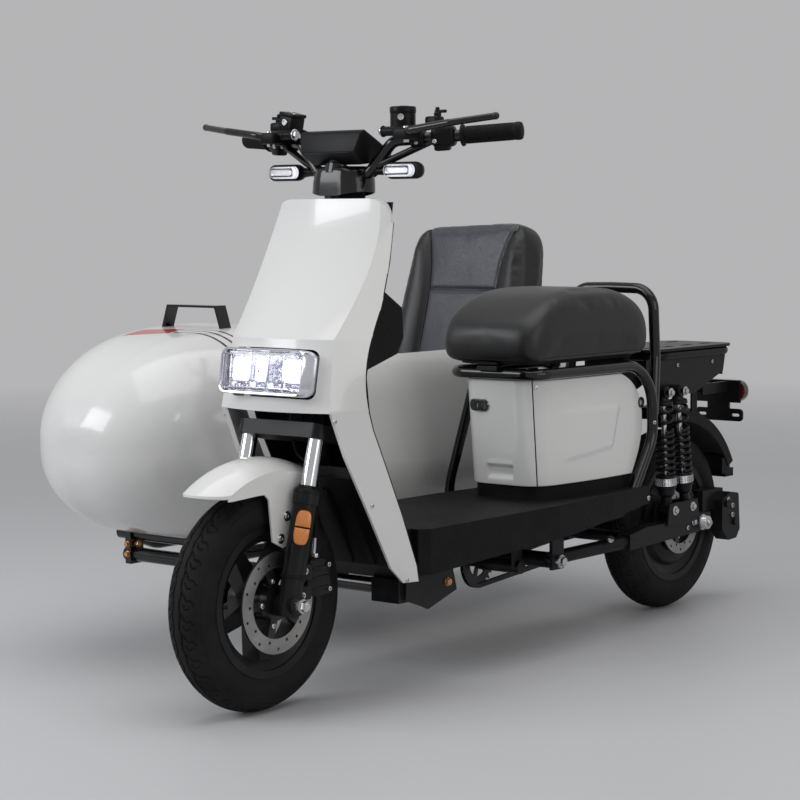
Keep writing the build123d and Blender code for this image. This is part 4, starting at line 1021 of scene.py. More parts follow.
class SIDECAR_OT_headlight(bpy.types.Operator):
    """Headlight: bezel, clear lens, faceted reflector and lit elements"""
    bl_idname = "sidecar.headlight"
    bl_label = "Headlight"

    def execute(self, context):
        def ring(width, height, radius, w):
            return [lamp_point(x, y, w) for x, y in rounded_rect(width, height, radius, 6)]

        def pane(k, w):
            return [lamp_point(x * k, y * k, w) for x, y in rounded_rect(197, 75, 12, 6)]
        m = Maker()
        m.skin([ring(198, 76, 12, -6), ring(198, 76, 12, 3), ring(200, 78, 13, 6), ring(205, 83, 15, 6.5),
                ring(208, 86, 16, 4), ring(208, 86, 16, -40), ring(196, 74, 12, -40), ring(196, 74, 12, -6)],
               close_rows=True, close_ring=True)
        floor = ring(120, 40, 8, -44)
        m.skin([ring(196, 74, 12, -39), floor], close_ring=True)
        m.faces(floor, [tuple(range(len(floor)))])
        m.done("headlight_bezel", "chassis", "mirror_facet", slot="reflector", replaces="headlight_body")
        m = Maker()
        m.skin([pane(k, w) for k, w in (
            (1.0, -5), (1.0, 2), (0.985, 4.4), (0.95, 6.0), (0.7, 7.0), (0.35, 7.4), (0.05, 7.5),
            (0.05, 4.5), (0.7, 4.2), (0.93, 3.0), (0.97, 0), (0.97, -5))], close_rows=True, close_ring=True)
        m.done("headlight_glass", "chassis", "lens", slot="lens_clear", replaces="headlight_lens")
        m = Maker()
        columns, lines = 30, 12
        for i in range(columns):
            for j in range(lines):
                u0, u1 = (-94 + 188 * k / columns for k in (i, i + 1))
                v0, v1 = (-34 + 68 * k / lines for k in (j, j + 1))
                u, v = (u0 + u1) / 2, (v0 + v1) / 2
                deep = -30 + 20 * ((u + 2) / 94) ** 2
                lift = 5 + 3 * math.sin(i * 1.9) * math.cos(j * 2.3)
                corners = [lamp_point(*place, deep) for place in ((u0, v0), (u1, v0), (u1, v1), (u0, v1))]
                peak = lamp_point(u + 1.2 * math.sin(i * 2.7 + j), v + math.cos(i + 3.1 * j), deep + lift)
                m.faces(corners + [peak], [(0, 1, 4), (1, 2, 4), (2, 3, 4), (3, 0, 4)])
        m.done("headlight_facets", "chassis", "mirror_facet", sharp=5, weld=0)
        m = Maker()
        for u, half, w in ((-62, 24, -14), (-14, 15, -16), (66, 20, -12)):
            m.slab(rounded_rect(half * 2, 44, 6), lamp_point(u, 4, w), LEFT, LAMP_UP, 3, 1)
        for u in (-84, -34, 10, 40):
            m.turned([(0, 0), (5, 0), (4.2, 3.4), (0, 5)], lamp_point(u, -24, -17), LAMP_OUT, 16)
        m.done("headlight_elements", "chassis", "lamp_light")
        m = Maker()
        for u in (-90, -38, 6, 44, 88):
            m.slab(rounded_rect(2.6, 62, 1.2, 2), lamp_point(u, 0, -12), LEFT, LAMP_UP, 5, 0.6)
        m.slab(rounded_rect(180, 2.4, 1.1, 2), lamp_point(0, -30, -12), LEFT, LAMP_UP, 5, 0.6)
        m.done("headlight_ribs", "chassis", "chrome")
        return {"FINISHED"}


class SIDECAR_OT_signals(bpy.types.Operator):
    """Turn signals and the tail lamp"""
    bl_idname = "sidecar.signals"
    bl_label = "Signals and tail lamp"

    def execute(self, context):
        shell, glow, glass = Maker(), Maker(), Maker()
        for s in (-1, 1):
            middle = Vector((1104, s * 150, 1000))

            def ring(width, height, radius, x, shift=-5):
                return [middle + LEFT * s * (u + shift) + UP * v + FORWARD * x
                        for u, v in rounded_rect(width, height, radius, 6)]
            shell.skin([ring(58, 20, 9, -4, -2), ring(76, 28, 13, 2, -2), ring(84, 32, 15, 12, -1.5),
                        ring(84, 32, 15, 20, -1.5), ring(80, 28, 13, 24, -1.5), ring(72, 25, 12, 24.5),
                        ring(70, 24, 11, 22), ring(70, 24, 11, 8)], close_ring=True, cap=True)
            shell.tube([middle + LEFT * s * -34 + FORWARD * 6, middle + LEFT * s * -52 + FORWARD * 8,
                        middle + LEFT * s * -84 + FORWARD * 14], [11, 8, 7], 16)
            glow.slab(rounded_rect(69, 23.4, 11), middle - LEFT * s * 5 + FORWARD * 23, LEFT, UP, 3, 1)
            for v in (-3.5, 3.5):
                glow.tube([middle + LEFT * (u - s * 5) + UP * v + FORWARD * 27 for u in (-27, 0, 27)], 1.4, 8)
            outer, inner = ring(56, 12, 5.6, 36.5), ring(53, 9, 4, 34.2)
            glass.skin([ring(69, 23, 11, 20), ring(69, 23, 11, 31), ring(66, 20, 9.5, 34.5), outer, inner,
                        ring(63, 17, 8, 32), ring(66, 20, 9.5, 30), ring(66, 20, 9.5, 20)],
                       close_rows=True, close_ring=True)
            for face in (outer, inner):
                glass.faces(face, [tuple(range(len(face)))])
        shell.done("signal_shells", "steering", "smooth_black", replaces="turn_signals")
        glow.done("signal_elements", "steering", "signal_light")
        glass.done("signal_glass", "steering", "frosted", slot="signal_lens", replaces="signal_lenses")
        m = Maker()
        m.skin([[Vector((-262 - w, u * k, 490 + v * k)) for u, v in rounded_rect(138, 52, 25, 8)]
                for k, w in ((1.0, 0), (1.0, 18), (0.97, 23), (0.9, 26), (0.6, 27.4), (0.1, 27.8))],
               close_ring=True, cap=True)
        m.done("tail_glass", "chassis", "tail_red", slot="tail_red", replaces="tail_lamp")
        m = Maker()
        m.slab(rounded_rect(118, 34, 16), (-264, 0, 490), -LEFT, UP, 8, 1.5)
        m.done("tail_elements", "chassis", "tail_glow")
        return {"FINISHED"}


# ------------------------------ fork ----------------------------------------
class SIDECAR_OT_fork(bpy.types.Operator):
    """Fork reflectors, dust seals, brake caliper and the bolts round the front wheel"""
    bl_idname = "sidecar.fork"
    bl_label = "Fork fittings"

    def execute(self, context):
        amber, black, silver = Maker(), Maker(), Maker()
        for s in (-1, 1):
            out = (LEFT * s - LEG_BACK).normalized()
            right = LEG_UP.cross(out)
            middle = on_leg(141, 0, s * 83)
            for end in (-1, 1):
                rows = []
                for k, lift in ((1.0, 22), (1.0, 27), (0.93, 29.5), (0.7, 31.2), (0.35, 31.8)):
                    row = []
                    for i in range(25):
                        a = math.pi * i / 24
                        c = math.cos(a)
                        u, v = 14.5 * math.copysign(abs(c) ** 0.6, c), 1.2 + 31 * math.sin(a) ** 0.6
                        row.append(middle + right * u * k + LEG_UP * end * (12 + (v - 12) * k) + out * lift)
                    rows.append(row)
                amber.skin(rows, close_ring=True, cap=True)
            black.slab(rounded_rect(33, 70, 16, 8), middle + out * 17, right, LEG_UP, 7, 1.5)
            black.turned([(24.8, -4), (25.6, -3), (25.6, 2), (24, 5), (20, 9), (18, 10), (16.5, 12),
                          (15.2, 12)], on_leg(208, 0, s * 83), LEG_UP, 36)
            black.turned([(22.2, 0), (23.6, 1.5), (23.6, 8), (22.2, 9.5)], on_leg(46, 0, s * 83), LEG_UP, 36)
        amber.done("fork_reflectors", "steering", "amber")
        black.done("fork_seals", "steering", "smooth_black")
        m = Maker()
        outer = [(1255, 214), (1260, 274), (1280, 284), (1316, 280), (1326, 254), (1322, 216), (1292, 208)]
        m.prism(outer, 60.5, 79, 5)
        m.prism(outer, 43, 48.2, 2)
        m.prism([(1256, 216), (1261, 272), (1278, 280), (1286, 268), (1279, 240), (1277, 216)], 46, 64, 1.5)
        m.prism([(1312, 240), (1312, 276), (1350, 276), (1350, 252)], 64, 82, 4)
        m.prism([(1314, 208), (1314, 236), (1356, 232), (1356, 206)], 64, 80, 4)
        for z in (226, 246, 264):
            m.brick((1288, 79, z), (44, 5, 6), edge=2)
        m.done("caliper_casting", "steering", "satin_black", replaces="front_caliper")
        m = Maker()
        for x, y, z, radius, height in ((1338, 81.5, 264, 6.5, 6), (1344, 79.5, 219, 6.5, 6),
                                        (1270, 81, 268, 4.5, 4), (1268, 81, 222, 4.5, 4)):
            m.cap_screw((x, y, z), LEFT, radius, height, False)
        m.hex_bolt((1290, 66, 283), UP, 11, 5, 8)
        m.tube([(1286.6, 62.6, 318), (1288, 62.4, 302), (1289.6, 62.2, 288)], 4.6, 14)
        for s, point in both_sides((WHEELBASE, 116.5, AXLE_Z)):
            m.hex_bolt(point, LEFT * s, 19, 9, 13)
            m.turned([(0, 9), (7, 9), (7, 13), (6, 14), (0, 14)], point, LEFT * s, 20)
        for x, z in ((1357, 366), (1374, 326)):
            for s, point in both_sides((x, 58, z)):
                m.turned([(9.5, 0), (9.5, 1), (8.2, 1.6), (7, 0.8), (0, 0.8)], point, LEFT * s, 28)
                m.cap_screw(point + LEFT * s * 0.8, LEFT * s, 6, 2.6)
        m.done("fork_bolts", "steering", "bright_zinc")
        for name, x, radius, body in (("front", WHEELBASE, 43, "front_wheel"), ("rear", 0, 37, "rear_wheel")):
            m = Maker()
            for turn in range(5):
                a = math.radians(72 * turn)
                m.cap_screw((x + radius * math.cos(a), 56, AXLE_Z + radius * math.sin(a)), LEFT, 6, 3.6)
            m.done(name + "_disc_bolts", body, "bright_zinc")
        for name, x, y, body in (("front", WHEELBASE, 0, "front_wheel"),
                                 ("sidecar", CAR_WHEEL.x, CAR_WHEEL.y, "sidecar_wheel")):
            m = Maker()
            for s in (-1, 1):
                m.turned([(9, 40), (22, 40), (30, 40.4), (33.5, 39), (34.4, 36), (34.4, 30)], (x, y, AXLE_Z),
                         LEFT * s, 40)
            m.tube([(x + 112, y, AXLE_Z - 2), (x + 100, y + 6, AXLE_Z - 1), (x + 88, y + 12, AXLE_Z)], 3.2,
                   10)
            m.done(name + "_hub_trim", body, "satin_black")
        return {"FINISHED"}


# ------------------------------ handlebar -----------------------------------
# the neck's rubber bellows: its reach from BELLOWS_HUB in a direction, in degrees from straight ahead
BELLOWS_REACH = [(45, 26), (60, 28), (75, 32), (90, 36), (105, 41), (120, 46), (135, 50), (150, 54),
                 (180, 54)]
BELLOWS_HUB = Vector((1135, 0, 0))
# where the bar's straight end starts and ends, and the pots on the two levers
BAR_KNEE = (1112, 116, 1056)
BAR_TIP = (1017, 345, 1071)
ROUND_POT = Vector((1114, 141, 1073.5))
SQUARE_POT = Vector((1113, -141, 1094))


class SIDECAR_OT_controls(bpy.types.Operator):
    """Lever sets with fluid pots, switch clusters, ribbed grips and the stem's rubber boot"""
    bl_idname = "sidecar.controls"
    bl_label = "Handlebar controls"

    def execute(self, context):
        black, gloss, silver, rubber, dark = Maker(), Maker(), Maker(), Maker(), Maker()
        for s in (-1, 1):
            def side(x, y, z):
                return Vector((x, s * y, z))
            knee, tip = side(*BAR_KNEE), side(*BAR_TIP)
            run, span = (tip - knee).normalized(), (tip - knee).length
            out = run.cross(UP).normalized() * s
            black.turned([(11.2, -13), (17, -13), (18, -11.5), (18, 11.5), (17, 13), (11.2, 13)],
                         knee + run * span * 0.2, run, 32)
            black.turned([(0, 0), (7, 0), (9, 2), (9, 24), (10, 25), (10, 30), (9, 31), (9, 56), (0, 58)],
                         side(1136, 112, 1073), LEFT * s, 24)
            black.brick(side(1140, 168, 1067), (34, 36, 22), edge=4)
            black.brick(side(1110, 164, 1064), (40, 24, 22), edge=5)
            path = bent_path([side(1138, 166, 1066), side(1158, 192, 1073), side(1150, 280, 1084),
                              side(1123, 362, 1094)], 46, 10)
            count = len(path)
            gloss.tube(path, [8.0 - 1.6 * i / count for i in range(count)], 16)
            gloss.ball(side(1122, 364, 1094.4), 7.0)
            silver.cap_screw(side(1143, 172, 1078), UP, 6, 4)
            silver.hex_bolt(side(1143, 172, 1056), -UP, 10, 5)
            silver.hex_bolt(side(1136, 112, 1073), LEFT * -s, 13, 6, 11)
            for z in (1056, 1072):
                silver.cap_screw(knee + run * span * 0.2 + out * 16 + UP * (z - 1064), out, 3.6, 4, False)
            # switch cluster between the clamp and the grip
            middle = knee + run * span * 0.4
            black.brick(middle + UP * 1, (46, 36, 40), run, UP - run * UP.dot(run), 10)
            black.brick(middle - run * 2 - UP * 19 + out * 2, (30, 24, 14), run, UP, 5)
            dark.brick(middle - out * 18 + UP * 9, (16, 7, 8), run, UP, 2.5)
            dark.brick(middle - out * 18 - UP * 7, (12, 8, 10), run, UP, 3)
            silver.turned([(0, 0), (4.5, 0), (4.5, 3), (3.6, 4), (0, 4)],
                          middle + out * 17 - UP * 8 - run * 14, out, 18)
            # mirror boss
            black.brick(side(1088, 196, 1090), (26, 30, 20), edge=5)
            black.turned([(0, 0), (7, 0), (7, 8), (5, 10), (4, 10), (4, 18), (3, 19), (0, 19)],
                         side(1084, 200, 1098), UP, 20)
            black.brick(side(1082, 206, 1109), (7, 26, 6), edge=2)
            grip, length = knee + run * span * 0.54, span * 0.47
            profile = [(11.2, 0), (20, 0), (21, 1.5), (20, 4.5), (15.6, 6)]
            for i in range(26):
                t = 9 + (length - 26) * i / 26
                profile += [(15.7, t), (16.7, t + 0.8), (16.7, t + 2.3), (15.7, t + 3.1)]
            profile += [(16.2, length - 15), (17, length - 12), (17, length - 5), (15.4, length - 1.5),
                        (11.5, length), (0, length + 0.6)]
            rubber.turned(profile, grip, run, 32)
        # round pot on the left lever, square one on the right
        black.turned([(0, 0), (21, 0), (24, 2), (24, 33), (24.8, 34), (25, 36), (25, 43), (23.5, 45.5),
                      (0, 45.5)], ROUND_POT, UP, 48)
        black.turned([(0, 45.5), (12, 45.5), (13, 46.4), (10, 46.8), (0, 46.8)], ROUND_POT, UP, 32)
        lean = Vector((0, 0.22, 1)).normalized()
        across = LEFT - lean * LEFT.dot(lean)
        black.brick(SQUARE_POT, (38, 35, 34), FORWARD, lean, 4)
        black.brick(SQUARE_POT + lean * 19, (41, 38, 7), FORWARD, lean, 2.5)
        for u in (-12, 12):
            silver.cap_screw(ROUND_POT + FORWARD * u + UP * 45.5, UP, 3, 1.6)
            silver.cap_screw(SQUARE_POT + lean * 22.4 + across * u + FORWARD * u * 0.8, lean, 3, 1.6)
        look = Vector((0.87, 0.5, 0))
        for centre, face in ((ROUND_POT + UP * 25.5 + look * 23, look),
                             (SQUARE_POT + FORWARD * 19.4 + lean * 4, FORWARD)):
            silver.turned([(0, 1.6), (3.8, 1.6), (4.4, 2.6), (6, 2.6), (6.6, 1.5), (6.6, 0)], centre, face,
                          28)
        black.done("lever_clamps", "steering", "smooth_black", replaces="brake_masters")
        gloss.done("brake_levers", "steering", "gloss_black")
        silver.done("control_bolts", "steering", "bright_zinc")
        dark.done("switch_buttons", "steering", "glass_black")
        rubber.done("ribbed_grips", "steering", "grip_rubber", replaces="grips")
        # instrument hood and its dial glass
        m = Maker()
        corners = []
        for x, z in ((1160, 1074), (1170, 1034), (1142, 1012), (1098, 1016), (1074, 1034), (1078, 1046),
                     (1150, 1078)):
            half = 58 + (z - 1008) * 0.35 if z < 1062 else 77 + (z - 1062) * 0.1
            corners += [(x, half, z), (x, -half, z)]
        m.hull(corners, 4, 4)
        m.done("instrument_hood", "steering", "smooth_black", replaces="display")
        slope = Vector((72, 0, 32)).normalized()
        m = Maker()
        m.slab(rounded_rect(122, 52, 9), Vector((1114, 0, 1062)) + Vector((-0.406, 0, 0.914)) * 0.2, -LEFT,
               slope, 1.6, 0.6)
        m.done("dial_glass", "steering", "glass_black")
        m = Maker()
        m.tube([(1170.6, y, 1034.6) for y in range(-56, 57, 14)], 1.2, 8)
        m.done("hood_ridge", "steering", "gloss_black")
        m = Maker()
        rows = []
        for z, kx, ky in ((986, 0.9, 0.9), (962, 0.955, 0.955), (952, 0.965, 0.968), (951.6, 0.985, 0.985),
                          (951.8, 1.0, 1.0), (964, 1.0, 1.0), (978, 1.0, 0.985), (990, 0.99, 0.95),
                          (1000, 0.97, 0.9), (1006, 0.93, 0.85), (1009.5, 0.86, 0.77)):
            rows.append([Vector((1122 + x * kx - (z - 952) * 0.06, y * ky, z + max(0, abs(y) - 8) * 0.18
                                 if z < 960 else z)) for x, y in rounded_rect(92, 128, 44, 10)])
        m.skin(rows, close_ring=True, cap=True)
        m.done("neck_cowl", "steering", "gloss_black", replaces="neck_cover")
        m = Maker()
        m.skin([[Vector((1122 + x * k, y * k, z)) for x, y in rounded_rect(90, 130, 44, 10)]
                for z, k in ((936, 1.04), (943, 1.03), (945, 1.0), (947.2, 0.97), (947.6, 0.9))],
               close_ring=True, cap=True)
        m.done("neck_collar", "chassis", "grip_rubber")
        m = Maker()
        for s in (-1, 1):
            line = []
            for i in range(27):
                a = math.radians(45 + 5 * i)
                line.append(Vector((math.cos(a), s * math.sin(a), 0)) * along(BELLOWS_REACH, math.degrees(a)))
            m.skin([[BELLOWS_HUB + p * k + UP * z for p in line]
                    for z, k in ((946, 1), (949.6, 1), (951.2, 0.96), (952.8, 1), (954.4, 0.96), (956, 1),
                                 (957.6, 0.95), (959, 0.98))])
        m.done("neck_bellows", "chassis", "grip_rubber", wall=1.4)
        return {"FINISHED"}


# ------------------------------ seat box ------------------------------------
BOX_FOOT, BOX_TOP = 347.5, 570.5        # heights between which the skins run
BOX_STEPS = 60
FACE_LEAN = 0.098                       # how far the box's front leans back, in radians


def box_seam(z):
    """Where the seat box's front and side skins meet."""
    return 603.5 + 23 * (z - 340) / 252


def box_rear(z):
    """Rear edge of the side skin at a height."""
    return along([(347, 284), (360, 276), (378, 264), (395, 254), (420, 244), (450, 238), (478, 238.5),
                  (500, 243), (522, 256), (540, 272), (552, 288), (562, 308), (571, 332)], z)


def box_line(z):
    """Outline of the seat box at a height, from the middle of its front round to the rear."""
    front = 620 + 22 * (z - 347) / 224
    corner = arc((front, 44), (front - 16, 82.7), (front - 46, 98), 14)
    flank = arc((front - 46, 98), (430, 110), (236, 104), 50)
    return [(front, 44 * i / 8) for i in range(8)] + corner + flank[1:]


def stretch(line, x0, x1, count):
    """Even points of an outline between two X values, from the larger to the smaller."""
    inside = [p for p in line if x1 < p[0] < x0]
    ends = []
    for limit in (x0, x1):
        for (ax, ay), (bx, by) in zip(line, line[1:]):
            if ax >= limit >= bx and ax > bx:
                ends.append((limit, ay + (by - ay) * (ax - limit) / (ax - bx)))
                break
        else:
            ends.append(line[0])
    run = [ends[0]] + inside + [ends[1]]
    lengths = [0.0]
    for a, b in zip(run, run[1:]):
        lengths.append(lengths[-1] + math.hypot(b[0] - a[0], b[1] - a[1]))
    points, k = [], 0
    for i in range(count + 1):
        want = lengths[-1] * i / count
        while k < len(run) - 2 and lengths[k + 1] < want:
            k += 1
        t = (want - lengths[k]) / max(1e-9, lengths[k + 1] - lengths[k])
        (ax, ay), (bx, by) = run[k], run[k + 1]
        points.append((ax + (bx - ax) * t, ay + (by - ay) * t))
    return points


def ease(value, low, high):
    """Smooth step from 0 at low to 1 at high."""
    t = min(1.0, max(0.0, (value - low) / (high - low)))
    return t * t * (3 - 2 * t)


def side_field(x, z):
    """Height of the raised field on the side skin, open towards the front."""
    low = 394 + (534 - x) * 17 / 170
    rear = 335 + (505 - z) * 29 / 94
    high = 504.5
    return 3.4 * ease(x, rear - 2, rear + 9) * (1 - ease(x, 500, 560)) * ease(z, low - 3, low + 9) \
        * (1 - ease(z, high - 9, high + 3))


def pull_scoop(y, z):
    """Depth of the finger scoop at the foot of the front skin."""
    across = 1 - ease(abs(y), 29, 36)
    lip = math.exp(-((z - 394) / 4) ** 2)
    return -8.0 * across * ease(z, 359, 372) * (1 - ease(z, 384, 391)) + 1.2 * across * lip


class SIDECAR_OT_seat_box(bpy.types.Operator):
    """Seat box skins with their raised fields, finger scoop, lock and screws"""
    bl_idname = "sidecar.seat_box"
    bl_label = "Seat box skins"

    def execute(self, context):
        levels = [BOX_FOOT + (BOX_TOP - BOX_FOOT) * i / BOX_STEPS for i in range(BOX_STEPS + 1)]
        m = Maker()
        for s in (-1, 1):
            rows = []
            for z in levels:
                run = stretch(box_line(z), box_seam(z) - 0.9, box_rear(z), 110)
                rows.append([Vector((x, s * (y + side_field(x, z)), z)) for x, y in run])
            m.skin(rows if s > 0 else [row[::-1] for row in rows])
        m.done("box_side_skins", "chassis", "shield_white", slot="body_white", replaces="box_side_panels",
               weld=0, wall=3.6)
        m = Maker()
        rows = []
        for z in levels:
            run = stretch(box_line(z), 700, box_seam(z) + 0.9, 44)
            run = [(x, -y) for x, y in reversed(run[1:])] + run
            rows.append([Vector((x + pull_scoop(y, z), y, z)) for x, y in run])
        m.skin(rows)
        m.done("box_front_skin", "chassis", "shield_white", slot="body_white", replaces="box_front_panel",
               weld=0, wall=3.6)
        black, silver = Maker(), Maker()
        face = Vector((math.cos(FACE_LEAN), 0, -math.sin(FACE_LEAN)))
        tall = Vector((math.sin(FACE_LEAN), 0, math.cos(FACE_LEAN)))
        lock = Vector((636.6, -43.5, 516))
        black.slab(rounded_rect(46, 26, 10), lock - face * 0.5, LEFT, tall, 5, 1.5)
        black.turned([(12, 4), (12, 7), (11, 8.5), (6, 8.5), (5.5, 7.5), (0, 7.5)], lock, face, 32)
        for u in (-22, 22):
            silver.cap_screw(lock + LEFT * u + face * 0.5, face, 4.2, 2.4)
        silver.slab(rounded_rect(2, 8, 0.9, 3), lock + face * 7.4, LEFT, tall, 0.6)
        for s in (-1, 1):
            corner, out = Vector((0.57, s * 0.82, 0)), Vector((0.6, s * 0.8, 0))
            stud = Vector((245, s * 104.2, 501))
            silver.cap_screw(Vector((617.2, s * 88.8, 556)) - corner * 0.4, corner, 4.6, 2.2)
            black.turned([(7, 0), (11.5, 0), (12.4, 1.2), (11.6, 3), (8, 3.8), (7, 2.4)], stud, LEFT * s, 32)
            silver.cap_screw(stud, LEFT * s, 7, 3.0)
            silver.cap_screw(Vector((217, s * 118, 456)) + out * 11.6, out, 4.4, 2.6)
        black.done("box_lock", "chassis", "glass_black")
        silver.done("box_screws", "chassis", "bright_zinc")
        return {"FINISHED"}


# ------------------------------ fittings -------------------------------------
class SIDECAR_OT_fasteners(bpy.types.Operator):
    """Edge trim, screws, bolts and nuts of the frame, shield and rear end"""
    bl_idname = "sidecar.fasteners"
    bl_label = "Fasteners and trim"

    def execute(self, context):
        m = Maker()
        edge = [(1151, 146.4, 903), (1170, 152, 829), (1198, 156, 750), (1230, 158, 690), (1250, 160, 620),
                (1242, 160, 556), (1228, 158, 520), (1202, 157, 471), (1143, 156, 352), (1098, 155, 250),
                (1091, 154, 221)]
        for s in (-1, 1):
            m.tube(bent_path([(x - 1.5, s * (y - 1.8), z) for x, y, z in edge], 60, 5), 2.1, 8)
        m.done("shield_edging", "chassis", "grip_rubber")
        m = Maker()
        for x, y, z in ((1312, 137.6, 541), (1213, 141.9, 376), (1116, 145.9, 224)):
            for s, point in both_sides((x, y, z)):
                m.cap_screw(point, Vector((0.25, s * 0.96, -0.12)), 4.6, 2.2)
        for s, point in both_sides((248, 126.4, 290)):
            m.cap_screw(point, LEFT * s, 6, 4)
        for s, point in both_sides((365, 100, 206)):
            m.hex_bolt(point + UP * 2 + LEFT * s * 4, Vector((0.1, s * 0.6, 0.8)), 13, 6, 8)
        for s, point in both_sides((546, 104, 184)):
            m.hex_bolt(point, LEFT * s, 17, 7, 12)
        for s, point in both_sides((0, 114, AXLE_Z)):
            nut = [(15.2 if i % 2 else 14.4, 3.5 + i) for i in range(14)]
            m.turned([(9, 0), (18, 0), (18, 2.5), (13, 3), *nut, (13, 18), (8, 18.5), (8, 22), (6.5, 23.5),
                      (0, 23.5)], point, LEFT * s, 36)
            m.hex_bolt(point + Vector((36, 0, 4)), LEFT * s, 11, 5, 8)
            m.cap_screw(point + Vector((64, 0, -6)), LEFT * s, 6, 4)
        for x, z in ((-151, 230), (-151, 208), (-132, 246)):
            m.cap_screw((x, 100, z), LEFT, 6, 6, False)
        m.hex_bolt((-186, 84, 206), -FORWARD, 10, 6, 7)
        for x in (-90, 60, 160):
            for s, point in both_sides((x, 83, 572)):
                m.cap_screw(point, LEFT * s, 5, 3)
        for s, point in both_sides((-262, 50, 506)):
            m.cap_screw(point, -FORWARD, 3.6, 2)
        m.done("frame_bolts", "chassis", "bright_zinc")
        m = Maker()
        m.hex_bolt((979, 136, 202), LEFT, 13, 5, 9)
        for z in (222, 201):
            m.hex_bolt((1086, POD_Y - 101, z), LEFT, 11, 6, 8)
            m.hex_bolt((1104.5, POD_Y - 110, z), FORWARD, 10, 5, 7)
            for y in (POD_Y + 110, POD_Y + 170):
                m.hex_bolt((1104.5, y, z), FORWARD, 10, 5, 7)
        m.done("brass_bolts", "chassis", "brass")
        m = Maker()
        for y in (POD_Y - 78, POD_Y + 78):
            m.cap_screw((1000, y, 683.5), UP, 5, 2.6)
        m.done("handle_screws", "chassis", "satin_black")
        return {"FINISHED"}


# ------------------------------ stage ----------------------------------------
FLOOR_HALF = 40                         # metres
FLOOR_FADE = (2.2, 7.5)                 # metres from the middle where the floor starts and ends to thin out
SOFT_SKY = ((0.9, 0.92, 0.95), 0.28)    # light that falls on the object: colour, strength
PALE_SKY = ((0.46, 0.46, 0.468), 1.0)   # what the camera, gloss and glass see
# name, place, what it looks at, its size, in metres, watts and colour
LAMPS = (("window", (4.2, -2.2, 2.6), (0, 0, 0.4), (3.0, 2.0), 96, (0.95, 0.97, 1.0)),
         ("ceiling", (0.4, 0.6, 4.0), (0, 0, 0.3), (4.0, 4.0), 82, (1, 1, 1)),
         ("fill", (0.5, 4.5, 1.8), (0, 0, 0.5), (3.0, 2.0), 27, (1.0, 0.98, 0.95)))
CAMERA_LENS, CAMERA_SENSOR = 99.69, 36.0
CAMERA_PLACE = (4352.7, 2781.8, 918.05)
CAMERA_TURN = (85.2076, 0.3683, 129.2839)


def put_in(scene, name, data):
    """A new object in the scene."""
    made = bpy.data.objects.new(name, data)
    scene.collection.objects.link(made)
    return made


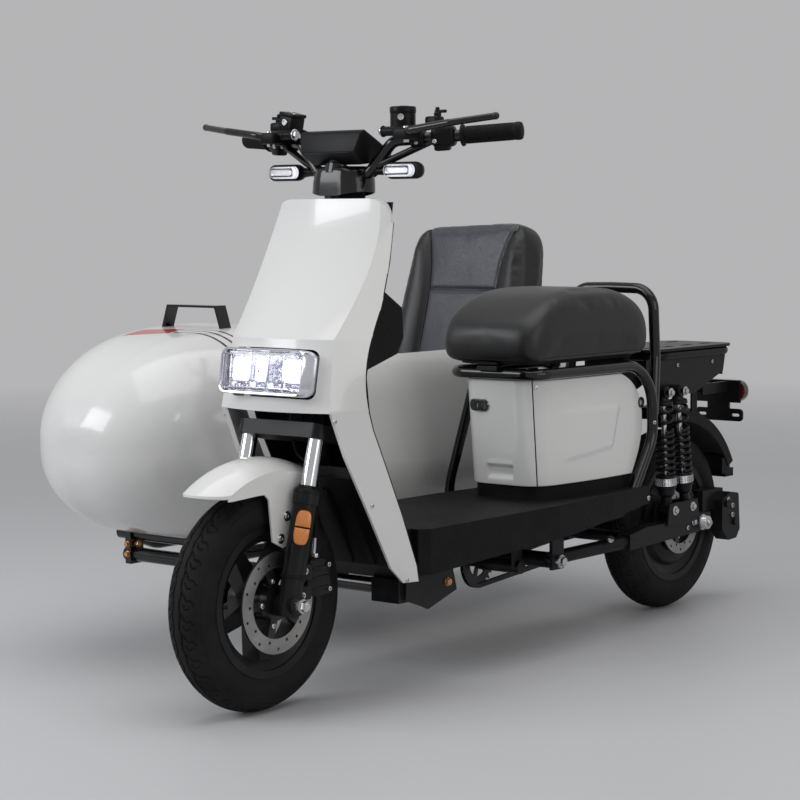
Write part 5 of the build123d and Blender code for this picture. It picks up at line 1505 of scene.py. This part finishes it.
class SIDECAR_OT_stage(bpy.types.Operator):
    """Floor, soft lights and the camera"""
    bl_idname = "sidecar.stage"
    bl_label = "Stage"

    def execute(self, context):
        scene = context.scene
        mesh = bpy.data.meshes.new("studio_floor")
        low, high = -FLOOR_HALF, FLOOR_HALF
        mesh.from_pydata([(low, low, 0), (high, low, 0), (high, high, 0), (low, high, 0)], [],
                         [(0, 1, 2, 3)])
        floor = put_in(scene, "studio_floor", mesh)
        colour = tuple(scene.sidecar_paint.floor_colour)
        f = Finish("studio_floor", Specular_IOR_Level=0.3)
        x, y, _ = f.axes()
        f.feed("Base Color", f.mix(f.between(f.noise(0.8, 3), 0.3, 0.7), tint(colour, 0.98), colour))
        f.feed("Roughness", 0.45 + f.noise(3, 3) * 0.1)
        f.feed("Alpha", f.between((x * x + y * y).of("SQRT"), *FLOOR_FADE, 1.0, 0.0))
        mesh.materials.append(f.material)
        scene.world = world = bpy.data.worlds.new("studio")
        world.use_nodes = True
        sky = Nodes(world.node_tree)
        sky.tree.nodes.clear()
        camera_ray = sky.node("ShaderNodeLightPath", output="Is Camera Ray")
        seen = camera_ray.of("MAXIMUM", camera_ray.beside("Is Glossy Ray"))
        seen = seen.of("MAXIMUM", camera_ray.beside("Is Transmission Ray"))
        both = [sky.node("ShaderNodeBackground", None, light) for light in (SOFT_SKY, PALE_SKY)]
        sky.node("ShaderNodeOutputWorld", None, (sky.node("ShaderNodeMixShader", None, (seen, *both)),))
        for name, place, aim, size, watts, shade in LAMPS:
            data = bpy.data.lights.new(name, "AREA")
            data.shape, data.size, data.size_y = "RECTANGLE", *size
            data.energy, data.color = watts, shade
            lamp = put_in(scene, name, data)
            lamp.location = place
            lamp.rotation_euler = (Vector(aim) - Vector(place)).to_track_quat("-Z", "Y").to_euler()
        data = bpy.data.cameras.new("camera")
        data.lens, data.sensor_width = CAMERA_LENS, CAMERA_SENSOR
        data.clip_end = 100
        scene.camera = camera = put_in(scene, "camera", data)
        camera.location = at(CAMERA_PLACE)
        camera.rotation_euler = [math.radians(a) for a in CAMERA_TURN]
        scene.view_settings.view_transform = "Standard"
        return {"FINISHED"}


class SIDECAR_PT_panel(bpy.types.Panel):
    """Lists the sizes, colours and steps"""
    bl_idname = "SIDECAR_PT_panel"
    bl_label = "Sidecar moped"
    bl_space_type = "VIEW_3D"
    bl_region_type = "UI"
    bl_category = "Sidecar"

    def draw(self, context):
        for group in (context.scene.sidecar_paint, context.scene.sidecar_sizes):
            for key in group.bl_rna.properties.keys():
                if key not in ("rna_type", "name"):
                    self.layout.prop(group, key)
        for step in STEPS:
            self.layout.operator(step.bl_idname)


STEPS = (SIDECAR_OT_stage, SIDECAR_OT_paints, SIDECAR_OT_tyres, SIDECAR_OT_fork, SIDECAR_OT_controls,
         SIDECAR_OT_headlight, SIDECAR_OT_signals, SIDECAR_OT_springs, SIDECAR_OT_bench, SIDECAR_OT_seat_box,
         SIDECAR_OT_armchair, SIDECAR_OT_fasteners)
GROUPS = {"sidecar_paint": SidecarPaint, "sidecar_sizes": SidecarSizes}


def register():
    for group in GROUPS.values():
        bpy.utils.register_class(group)
    for name, group in GROUPS.items():
        setattr(bpy.types.Scene, name, PointerProperty(type=group))
    for cls in STEPS + (SIDECAR_PT_panel,):
        bpy.utils.register_class(cls)


def unregister():
    for cls in reversed(STEPS + (SIDECAR_PT_panel,)):
        bpy.utils.unregister_class(cls)
    for name, group in GROUPS.items():
        delattr(bpy.types.Scene, name)
        bpy.utils.unregister_class(group)


def main():
    register()
    for step in STEPS:
        getattr(bpy.ops.sidecar, step.bl_idname.split(".")[1])()


if __name__ == "__main__":
    main()
